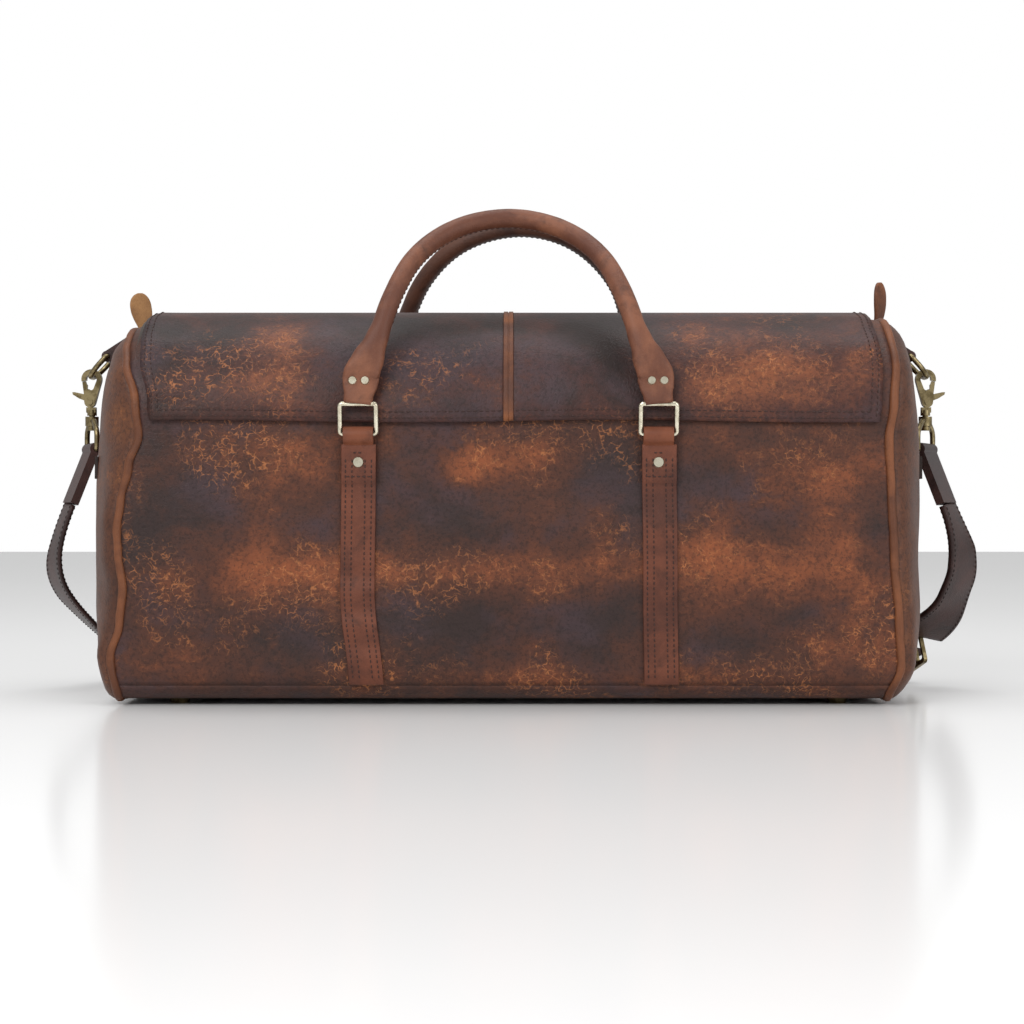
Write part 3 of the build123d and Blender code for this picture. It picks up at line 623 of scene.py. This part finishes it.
# painted shade: the rear handle's leather is the handle leather painted darker, for the handle that stands
# behind the front one
HANDLE_SHADED = plain_leather("handle_leather_rear_shaded", colour("#3a2620"), colour("#553629"), colour("#231815"))
TAB_LEATHER = plain_leather("tab_leather", colour("#7d5633"), colour("#9c7247"), colour("#4d3220"), scale=1.6)
DARK_LEATHER = plain_leather("strap_leather", colour("#2c1c1a"), colour("#432c28"), colour("#1b1211"),
                             roughness=(0.36, 0.55))
EDGE_THREAD = thread("dark_thread", colour("#24120e"), colour("#3c2018"))
BLACK_THREAD = thread("black_thread", colour("#120c0b"), colour("#2b1d1a"))
NICKEL = metal("nickel", colour("#d8d2bd"), colour("#b9b09a"))
BRASS = metal("antique_brass", colour("#8f8160"), colour("#5d5138"), (0.26, 0.48))
LINING = cloth("lining_cloth", colour("#2c2622"), colour("#4a4038"))
TAPE = cloth("zip_tape", colour("#1c1310"), colour("#33231d"), 0.6)
BOARD = plain_leather("base_board", colour("#15120f"), colour("#26201b"), colour("#0c0a09"))
CORE = cloth("cord_core", colour("#a89878"), colour("#cbbd9c"))


def declare(piece, body, slot, *nodes):
    """Ride a piece on its body and hide the CAD nodes that it stands for; the slot is not used."""
    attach(piece, body)
    if nodes:
        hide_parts(*nodes)
    return piece


# Camera -----------------------------------------------------------------------------------------

camera = bpy.data.cameras.new("camera")
camera.sensor_width = 36.0
camera.lens = 79.7
eye = bpy.data.objects.new("camera", camera)
bpy.context.scene.collection.objects.link(eye)
eye.location = (2.5 * MM, -1700 * MM, 135 * MM)
eye.rotation_euler = (math.radians(90), 0, 0)
bpy.context.scene.camera = eye


# Shoulder strap ---------------------------------------------------------------------------------

LONG_ROUTE = (
    (-328.2, -4.2, 140.6), (-337.0, -6.6, 117.4), (-341.0, -1.0, 92.0), (-336.0, 19.0, 70.0),
    (-324.0, 49.0, 50.0), (-312.0, 86.0, 30.0), (-297.0, 122.0, 13.0), (-266.0, 147.0, 5.2),
    (-222.0, 160.0, 4.6), (-168.0, 164.0, 4.4), (-112.0, 163.0, 4.6), (-56.0, 167.0, 4.4),
    (0.0, 172.0, 4.6), (56.0, 172.0, 4.4), (112.0, 167.0, 4.6), (168.0, 165.0, 4.4),
    (220.0, 160.0, 4.8), (262.0, 146.0, 7.0), (294.2, 119.2, 10.3), (309.6, 76.0, 29.5),
)
ADJUST_ROUTE = (
    (318.4, 51.0, 40.5), (326.2, 29.0, 50.3), (335.0, 12.0, 69.0), (341.0, 0.0, 92.0),
    (337.0, -6.6, 117.4), (328.2, -4.2, 140.6),
)
STRAP_WIDTH = 38.0


def spline_line(points, name):
    """Points along the smooth line that a route's points control."""
    data = bpy.data.curves.new(name, "CURVE")
    data.dimensions = "3D"
    data.resolution_u = 12
    spline = data.splines.new("NURBS")
    spline.points.add(len(points) - 1)
    for point, place in zip(spline.points, points):
        point.co = (*(c * MM for c in place), 1.0)
    spline.order_u = 3
    spline.use_endpoint_u = True
    holder = bpy.data.objects.new(name, data)
    bpy.context.scene.collection.objects.link(holder)
    bpy.context.view_layer.update()
    mesh = bpy.data.meshes.new_from_object(holder.evaluated_get(bpy.context.evaluated_depsgraph_get()))
    line = [vertex.co / MM for vertex in mesh.vertices]
    bpy.data.objects.remove(holder)
    bpy.data.meshes.remove(mesh)
    return line


def line_length(line):
    return sum((b - a).length for a, b in zip(line, line[1:]))


def hint_between(hints):
    """A strap's width direction, from a few chosen (share of the length, direction)."""
    def at(t):
        for (a, low), (b, high) in zip(hints, hints[1:]):
            if t <= b:
                return Vector(low).lerp(Vector(high), smooth(a, b, t))
        return Vector(hints[-1][1])
    return at


def strap_piece(name, route, hints, thick=3.4):
    """A flat strap along a route, and the thread along both its edges."""
    line = spline_line(route, name)
    hint = hint_between(hints)
    piece = sweep(name, line, hint, lambda t: flat_section(STRAP_WIDTH, thick), DARK_LEATHER)
    rings = frames(line, hint)
    rows = []
    for offset in (-STRAP_WIDTH / 2 + 3, STRAP_WIDTH / 2 - 3):
        for face in (-1, 1):
            rows.append([(p + side * offset + up * (face * thick / 2), up * face)
                         for p, (_, side, up) in zip(line, rings)])
    seam = stitches(name + "_thread", rows, BLACK_THREAD, 4.0, 2.8)
    return piece, seam, line


left_across = (-math.sin(math.radians(20)), math.cos(math.radians(20)), 0)
right_across = (math.sin(math.radians(25)), math.cos(math.radians(25)), 0)
left_seen = (-math.sin(math.radians(24)), math.cos(math.radians(24)), 0)
right_seen = (math.sin(math.radians(39)), math.cos(math.radians(39)), 0)
long_strap, long_seam, long_line = strap_piece(
    "shoulder_strap_long", LONG_ROUTE,
    ((0.0, left_across), (0.10, left_seen), (0.24, (-0.62, 0.35, 0.45)), (0.38, (-0.15, 0.98, 0.05)),
     (0.6, (0, 1, 0)), (0.86, (0.1, 1, 0)), (0.95, (0.75, 0.35, 0.35)), (1.0, (0.85, 0.25, -0.2))))
adjust_strap, adjust_seam, _ = strap_piece(
    "shoulder_strap_adjuster", ADJUST_ROUTE,
    ((0.0, (0.85, 0.25, -0.2)), (0.45, (0.72, 0.66, 0.1)), (0.7, right_seen), (1.0, right_across)),
    thick=5.0)
for piece, node in ((long_strap, "shoulder_strap"), (adjust_strap, "strap_adjuster")):
    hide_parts(node)
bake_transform(long_strap)
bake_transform(long_seam)
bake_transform(adjust_strap)
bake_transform(adjust_seam)

# Body panels ------------------------------------------------------------------------------------

STEP = 4.0
END_CENTRE_Z = 140.0
for name, sign in (("front", 1), ("back", -1)):
    def wall(x, s, lift, sign=sign):
        return on_bag(x, s if sign > 0 else 2 * CREST - s, lift)

    panel = slab(name + "_panel_leather", wall, span(-SEAM_X + 1.5, SEAM_X - 1.5, STEP),
                 span(SEAM_S, MOUTH_S, STEP), -2.4, 0.0, BODY_LEATHER, FRONT_PATCHES)
    declare(panel, "root", "leather", name + "_panel")

base = slab("bottom_panel_leather", on_bag, span(-SEAM_X + 1.5, SEAM_X - 1.5, STEP),
            span(-SEAM_S, SEAM_S, STEP), -2.4, 0.0, BODY_LEATHER)
declare(base, "root", "leather", "bottom_panel")

for name, side in (("left", -1), ("right", 1)):
    rings = []
    arc_steps = 12
    for i in range(arc_steps + 1):
        a = math.acos(1 - DOME_INSET / HALF_DEPTH) * i / arc_steps
        rings.append((SEAM_X + 1 + DOME_LENGTH * math.sin(a), HALF_DEPTH * (1 - math.cos(a)), 1.0))
    cap_x = rings[-1][0]
    for i in range(1, 13):
        r = 1 - i / 12
        rings.append((cap_x + 2.5 * (1 - r * r), DOME_INSET, r))
    around = 180
    verts = []
    for lift in (0.0, -2.4):
        for x, inset, r in rings:
            for k in range(around):
                s = 2 * CREST * k / around
                y, z, ny, nz = outline(s, inset)
                pucker = 0.8 * math.sin(s / 7.5 + 2 * noise.noise(Vector((s / 60, 0, side)))) * math.exp(
                    -((inset - 6) / 8) ** 2) * r
                y, z = y * r, END_CENTRE_Z + (z - END_CENTRE_Z) * r
                steep = max(1 - inset / 30.0, 0.0)
                shove = sag(side * x, y, z)
                dent = 1.6 * noise.noise(Vector((y / 60, z / 60, side * 3.0))) * min(inset / 30.0, 1.0)
                out = side * (x + (lift + pucker + dent) * (1 - steep) + dent)
                rise = (lift + pucker) * steep
                verts.append(Vector((out, y + ny * rise, z + nz * rise)) + shove)
    faces = []
    layer = len(rings) * around
    for offset in (0, layer):
        for i in range(len(rings) - 1):
            for k in range(around):
                a = offset + i * around + k
                b = offset + i * around + (k + 1) % around
                quad = (a, b, b + around, a + around)
                faces.append(quad if offset == 0 else quad[::-1])
    for k in range(around):
        a, b = k, (k + 1) % around
        faces.append((b, a, a + layer, b + layer))
    end = new_object(name + "_end_leather", verts, faces, END_LEATHER)
    if signed_volume(end.data) < 0:
        end.data.flip_normals()
    declare(end, "root", "leather_tan", name + "_end_panel")

    welt_path = [on_bag(side * SEAM_X, 2 * CREST * k / 240, -0.6) for k in range(240)]
    ringed = []
    for i, point in enumerate(welt_path):
        along = (welt_path[(i + 1) % 240] - welt_path[i - 1]).normalized()
        out = Vector((side, 0, 0)).cross(along).normalized()
        ringed.append((point, Vector((side, 0, 0)), out))
    verts, faces = [], []
    for i, (point, across, out) in enumerate(ringed):
        rough = 0.15 * noise.noise(point / 9.0)
        for a, b in ellipse(6.0, 5.6, 14):
            verts.append(point + across * (a * (1 + rough)) + out * (b * (1 + rough)))
    for i in range(240):
        for j in range(14):
            faces.append((i * 14 + j, i * 14 + (j + 1) % 14, ((i + 1) % 240) * 14 + (j + 1) % 14,
                          ((i + 1) % 240) * 14 + j))
    welt = new_object(name + "_piping_welt", verts, faces, PIPING_LEATHER)
    if signed_volume(welt.data) < 0:
        welt.data.flip_normals()
    declare(welt, "root", "leather_tan", name + "_piping")

# Flap -------------------------------------------------------------------------------------------

FLAP_LOW_S = WALL_START + (FLAP_EDGE_Z - FOOT_HEIGHT - LOW_R)
HEM_S = CREST + 62.0
FLAP_LIFT = 1.5


def flap_point(x, s, lift):
    """A point on the flap, which stands a little off the body and flares at its free edge."""
    edge = 1 - smooth(0, 26, s - FLAP_LOW_S)
    ripple = noise.noise(Vector((x / 55.0, s / 90.0, 4.0)))
    off = FLAP_LIFT + edge * (0.5 + 0.7 * ripple)
    up = s - FLAP_LOW_S
    ends = smooth(205, 235, abs(x)) * smooth(0, 20, up) * (1 - smooth(90, 130, up))
    fold = 0.55 * math.sin(s / 5.2 + 1.6 * noise.noise(Vector((x / 30, s / 25, 1.0)))) * ends
    spread = 1 + 0.012 * (1 - smooth(0, 120, s - FLAP_LOW_S))
    wave = 0.9 * math.sin(x / 47.0) * edge
    return on_bag(x * spread, s + wave, lift + off + fold)


for name, side in (("left", -1), ("right", 1)):
    xs = span(side * FLAP_HALF, side * 1.2, 4.0)
    half = slab("flap_" + name + "_leather", flap_point, xs, span(FLAP_LOW_S, HEM_S, 3.5), 0.0, 2.3,
                FLAP_LEATHER, FLAP_PATCHES)
    if side < 0:
        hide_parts("flap_left", "flap_hem")
    else:
        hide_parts("flap_right")
    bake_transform(half)


def seam_point(x, s, lift):
    """Two narrow ridges beside the middle seam."""
    return flap_point(x, s, lift - (0.9 if lift > 2 and abs(x) < 0.3 else 0.0))


seam = slab("flap_centre_seam", seam_point, (-3.4, -2.9, -1.3, -0.5, 0.0, 0.5, 1.3, 2.9, 3.4),
            span(FLAP_LOW_S, HEM_S, 3.0), 0.0, 3.1,
            plain_leather("seam_leather", colour("#4d2c1e"), colour("#764526"), colour("#2f1b15")))
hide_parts("flap_seam_strip")
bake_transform(seam)
under = slab("flap_cloth", flap_point, span(-FLAP_HALF + 5, FLAP_HALF - 5, 6.0),
             span(FLAP_LOW_S + 5, HEM_S - 6, 6.0), -0.9, -0.2, LINING)
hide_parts("flap_lining")
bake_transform(under)


def flap_row(points):
    """Points and normals for thread on the flap, from (x, s) pairs."""
    row = []
    for x, s in points:
        here = flap_point(x, s, 2.35)
        row.append((here, (flap_point(x, s, 4.35) - here).normalized()))
    return row


rows = []
for inset_mm in (2.8, 7.0):
    low = FLAP_LOW_S + inset_mm
    rows.append(flap_row([(x, low) for x in span(-FLAP_HALF + inset_mm, FLAP_HALF - inset_mm, 4.0)]))
    for side in (-1, 1):
        rows.append(flap_row([(side * (FLAP_HALF - inset_mm), s) for s in span(low, CREST + 44, 4.0)]))
for x in (-2.3, 2.3):
    rows.append(flap_row([(x, s) for s in span(FLAP_LOW_S + 3, CREST + 44, 4.0)]))
flap_thread = stitches("flap_thread", rows, EDGE_THREAD)
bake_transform(flap_thread)

# Anchor straps ----------------------------------------------------------------------------------

ANCHOR_LOW = 128.0
ANCHOR_HIGH = 294.4
Z_TO_S = 112.4
ANCHOR_LINES = {
    ("front", "left"): ((9, -98.3), (80, -104.7), (182, -103.7)),
    ("front", "right"): ((9, 106.3), (80, 105.4), (182, 104.6)),
    ("rear", "left"): ((9, -104.0), (182, -104.0)),
    ("rear", "right"): ((9, 104.0), (182, 104.0)),
}


def anchor_surface(end, name):
    """The strap's own surface(u across, v up, lift): on the wall, standing off it below the ring."""
    line = ANCHOR_LINES[end, name]
    crumple = 1.0 if (end, name) == ("front", "left") else 0.15

    def at(u, v, lift):
        z = v - Z_TO_S
        x = curve_at(line, z) + u
        off = 3.0 * smooth(154, 158, z)
        fold = 0.7 * math.sin(z / 3.9 + 0.8 * noise.noise(Vector((u / 9.0, z / 20.0, 2.0))))
        fold *= crumple * smooth(20, 40, z) * (1 - smooth(88, 112, z))
        s = v if end == "front" else 2 * CREST - v
        return on_bag(x, s, lift + off + fold)
    return at


anchor_rows = []
for end, name in ANCHOR_LINES:
    at = anchor_surface(end, name)
    strap = slab(f"{end}_{name}_anchor_leather", at, span(-12, 12, 2.0), span(ANCHOR_LOW, ANCHOR_HIGH, 2.5),
                 0.1, 2.5, STRAP_LEATHER)
    declare(round_edges(strap, 0.6), "root", "leather", f"{end}_{name}_anchor_strap")
    lines = [[(u, v) for v in span(ANCHOR_LOW + 4, 286.0, 3.0)] for u in (-9.0, -4.5, 4.5, 9.0)]
    lines.append([(u, 176.0 + Z_TO_S) for u in span(-4.5, 4.5, 1.5)])
    lines.append([(u, 159.5 + Z_TO_S) for u in span(-9.0, 9.0, 1.5)])
    for pairs in lines:
        row = []
        for u, v in pairs:
            here = at(u, v, 2.5)
            row.append((here, (at(u, v, 4.5) - here).normalized()))
        anchor_rows.append(row)
declare(stitches("anchor_thread", anchor_rows, EDGE_THREAD, 3.6, 2.5), "root", "leather")

# Ring loops -------------------------------------------------------------------------------------

LOOP_LINE = ((126.0, 158), (126.2, 178), (126.6, 186), (128.3, 191.2), (131.3, 193.4), (134.6, 191.6),
             (135.8, 188.2), (134.4, 184.6), (131.2, 182.4), (128.6, 179), (127.6, 170), (127.4, 160))
for end, side in (("front", -1), ("rear", 1)):
    for name, x in (("left", -ANCHOR_X), ("right", ANCHOR_X)):
        loop = sweep(f"{end}_loop_{name}", catmull([(x, side * y, z) for y, z in LOOP_LINE], 1.5),
                     lambda t: Vector((1, 0, 0)), lambda t: flat_section(21.0, 1.6), LOOP_LEATHER)
        declare(loop, "root", "leather", *([f"{end}_ring_loops"] if name == "left" else []))

# Handles ----------------------------------------------------------------------------------------

HANDLE_R = 6.9
FRONT_HALF = ((-101.5, -133.9, 230.5), (-90.5, -131.0, 255.0), (-82.0, -118.0, 285.0), (-66.5, -95.0, 317.5),
              (-38.0, -73.0, 340.0))
FRONT_ARCH = FRONT_HALF + ((0.0, -62.0, 349.0),) + tuple((-x, y, z) for x, y, z in reversed(FRONT_HALF))
REAR_ARCH = ((-102.0, 133.9, 230.5), (-95.0, 131.5, 256.0), (-83.0, 121.0, 290.0), (-68.0, 103.0, 322.0),
             (-38.0, 87.0, 349.0), (8.0, 82.0, 361.0), (52.0, 87.0, 351.0), (85.0, 103.0, 322.0),
             (97.0, 121.0, 290.0), (102.0, 131.5, 256.0), (102.0, 133.9, 230.5))
BAR_Y = RING_Y + RING_RISE * math.sin(RING_TILT)
BAR_Z = RING_Z + RING_RISE * math.cos(RING_TILT)
HANDLE_SHAPE = ((0, 20.0, 8.4, 2.0), (6, 20.5, 7.6, 3.5), (12.5, 24.0, 6.4, 4.5), (18.0, 25.5, 6.4, 4.5),
                (20.5, 25.0, 9.8, 3.6), (32, 22.5, 10.8, 3.0), (46, 16.5, 12.8, 2.4),
                (60, 2 * HANDLE_R, 2 * HANDLE_R, 2.0))


def superellipse(width, height, power, count=28):
    points = []
    for k in range(count):
        a = 2 * math.pi * k / count
        c, s = math.cos(a), math.sin(a)
        points.append((width / 2 * math.copysign(abs(c) ** (2 / power), c),
                       height / 2 * math.copysign(abs(s) ** (2 / power), s)))
    return points


# the rear handle takes the darker copy of the handle leather, which is painted shade
for end, side, arch, leather in (("front", -1, FRONT_ARCH, HANDLE_LEATHER),
                                 ("rear", 1, REAR_ARCH, HANDLE_SHADED)):
    feet = [Vector((x, side * BAR_Y, BAR_Z)) for x in (-ANCHOR_X, ANCHOR_X)]
    bend = spline_line(arch, end + "_arch")
    line = [feet[0].lerp(bend[0], k / 10) for k in range(10)] + bend
    line += [bend[-1].lerp(feet[1], k / 10) for k in range(1, 11)]
    total = line_length(line)
    done = [0.0]
    for a, b in zip(line, line[1:]):
        done.append(done[-1] + (b - a).length)

    def handle_section(t, done=done, total=total):
        d = done[min(int(round(t * (len(done) - 1))), len(done) - 1)]
        d = min(d, total - d)
        size = [curve_at([(row[0], row[k]) for row in HANDLE_SHAPE], d) for k in (1, 2, 3)]
        return superellipse(*size)

    verts = []
    for i, point in enumerate(line):
        along = (line[min(i + 1, len(line) - 1)] - line[max(i - 1, 0)]).normalized()
        across = Vector((0, side, 0)).cross(along).normalized()
        out = along.cross(across)
        d = min(done[i], total - done[i])
        wrinkle = 1 + 0.02 * noise.noise(Vector((point.x / 7.0, point.z / 7.0, side))) * smooth(40, 70, d)
        for a, b in handle_section(i / (len(line) - 1)):
            verts.append(point + across * (a * wrinkle) + out * (b * wrinkle))
    count = len(handle_section(0.0))
    faces = []
    for i in range(len(line) - 1):
        for j in range(count):
            k = (j + 1) % count
            faces.append((i * count + j, i * count + k, (i + 1) * count + k, (i + 1) * count + j))
    faces.append(tuple(range(count))[::-1])
    faces.append(tuple((len(line) - 1) * count + j for j in range(count)))
    grip = new_object(f"{end}_handle_leather", verts, faces, leather)
    if signed_volume(grip.data) < 0:
        grip.data.flip_normals()
    declare(grip, f"{end}_handle", "leather", f"{end}_handle")
    seam_row = []
    for i, point in enumerate(line):
        if done[i] < 60 or total - done[i] < 60:
            continue
        along = (line[i + 1] - line[i - 1]).normalized()
        across = Vector((0, side, 0)).cross(along).normalized()
        inward = across if across.dot(Vector((0, side * 100, 250)) - point) > 0 else -across
        seam_row.append((point + inward * (HANDLE_R - 0.1), inward))
    declare(stitches(f"{end}_handle_thread", [seam_row], EDGE_THREAD, 4.2, 2.9), f"{end}_handle", "leather")

# Zip tabs ---------------------------------------------------------------------------------------

for name, side, turn, path, width in (
        ("left", -1, 62.0, ((-271, 0, 268), (-274, 0, 280), (-276, 0, 290), (-276.5, 0, 299)), 16.5),
        ("right", 1, 40.0, ((276, 0, 272), (278, 0, 284), (278.5, 0, 296), (278, 0, 307)), 15.0)):
    facing = Vector((math.sin(math.radians(turn)), math.cos(math.radians(turn)), 0))

    def petal_section(t, width=width):
        flare = 0.55 + 0.45 * smooth(0, 0.6, t)
        round_tip = math.sqrt(max(1 - (max(t - 0.68, 0) / 0.33) ** 2, 0.06))
        return flat_section(width * flare * round_tip, 3.0)

    petal = sweep(name + "_zip_petal", catmull(path, 1.0), lambda t, facing=facing: facing, petal_section,
                  TAB_LEATHER if side < 0 else PIPING_LEATHER)
    declare(petal, "root", "leather_tan", f"zip_tab_{name}")

# Small soft parts -------------------------------------------------------------------------------


def softened(node, body, slot, material, edge=0.5, crumple=0.25):
    """The CAD part with rolled edges and a slightly uneven face."""
    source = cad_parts[node]
    mesh = source.data.copy()
    mesh.transform(source.matrix_world)
    mesh.materials.clear()
    mesh.materials.append(material)
    obj = bpy.data.objects.new(node + "_soft", mesh)
    bpy.context.scene.collection.objects.link(obj)
    round_edges(obj, edge, 2, 35.0)
    for vertex in obj.data.vertices:
        place = vertex.co / MM
        vertex.co += vertex.normal * (crumple * noise.noise(place / 6.0) * MM)
    return declare(obj, body, slot, node)


for side in ("left", "right"):
    softened(f"{side}_strap_fold", f"{side}_hanger", "leather_dark", DARK_LEATHER)
    softened(f"{side}_dring_tab", "root", "leather_tan", DARK_LEATHER)
    softened(f"{side}_pocket_zip", "root", "zip_tape", TAPE, 0.3, 0.1)
for end in ("front", "rear"):
    softened(f"mouth_strip_{end}", f"mouth_{end}", "leather", STRAP_LEATHER, 0.4, 0.15)
softened("lining", "root", "lining_cloth", LINING, 0.4, 0.15)

# Materials for the nodes that stay as the CAD made them ------------------------------------------

CARRIED = {
    "anchor_rivets": NICKEL, "front_rings": NICKEL, "rear_rings": NICKEL, "front_handle_rivets": NICKEL,
    "rear_handle_rivets": NICKEL, "base_feet": BRASS, "zip_slider": BRASS, "zip_pull": BRASS,
    "strap_buckle": BRASS, "base_board": BOARD, "front_handle_core": CORE,
    "rear_handle_core": CORE,
    "zip_chain_front": TAPE, "zip_chain_rear": TAPE, "zip_end_left": TAPE, "zip_end_right": TAPE,
}
for side in ("left", "right"):
    for part in ("dring", "hook", "trigger", "swivel", "pocket_slider"):
        CARRIED[f"{side}_{part}"] = BRASS
for node, material in CARRIED.items():
    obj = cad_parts[node]
    obj.data.materials.clear()
    obj.data.materials.append(material)

# Stage ------------------------------------------------------------------------------------------

def area_light(name, place, aim, size, power):
    data = bpy.data.lights.new(name, "AREA")
    data.shape = "RECTANGLE"
    data.size, data.size_y = size
    data.energy = power
    lamp = bpy.data.objects.new(name, data)
    bpy.context.scene.collection.objects.link(lamp)
    lamp.location = place
    lamp.rotation_euler = (Vector(aim) - Vector(place)).to_track_quat("-Z", "Y").to_euler()


floor_mesh = bpy.data.meshes.new("floor")
floor_mesh.from_pydata([(-6, -6, 0), (6, -6, 0), (6, 6, 0), (-6, 6, 0)], [], [(0, 1, 2, 3)])
floor = bpy.data.objects.new("floor", floor_mesh)
bpy.context.scene.collection.objects.link(floor)
floor_look = Nodes("floor_white")
floor_mesh.materials.append(floor_look.finish(colour("#f4f4f4"), 0.16))

world = bpy.data.worlds.new("studio")
world.use_nodes = True
sky = world.node_tree
room = sky.nodes["Background"]
room.inputs["Color"].default_value = (1.0, 1.0, 1.0, 1.0)
backdrop = sky.nodes.new("ShaderNodeBackground")
backdrop.inputs["Strength"].default_value = 1.0
room.inputs["Strength"].default_value = 0.62
seen = sky.nodes.new("ShaderNodeLightPath")
choice = sky.nodes.new("ShaderNodeMixShader")
sky.links.new(seen.outputs["Is Camera Ray"], choice.inputs[0])
sky.links.new(room.outputs[0], choice.inputs[1])
sky.links.new(backdrop.outputs[0], choice.inputs[2])
sky.links.new(choice.outputs[0], sky.nodes["World Output"].inputs["Surface"])
backdrop.inputs["Color"].default_value = (1.0, 1.0, 1.0, 1.0)
bpy.context.scene.world = world
bpy.context.scene.view_settings.view_transform = "Standard"
area_light("key", (-1.0, -1.9, 1.5), (0, 0, 0.12), (1.5, 0.9), 30)
area_light("fill", (1.5, -1.5, 0.9), (0, 0, 0.12), (1.2, 1.2), 14)
area_light("top", (0, 0.1, 1.9), (0, 0, 0.1), (1.8, 0.9), 16)
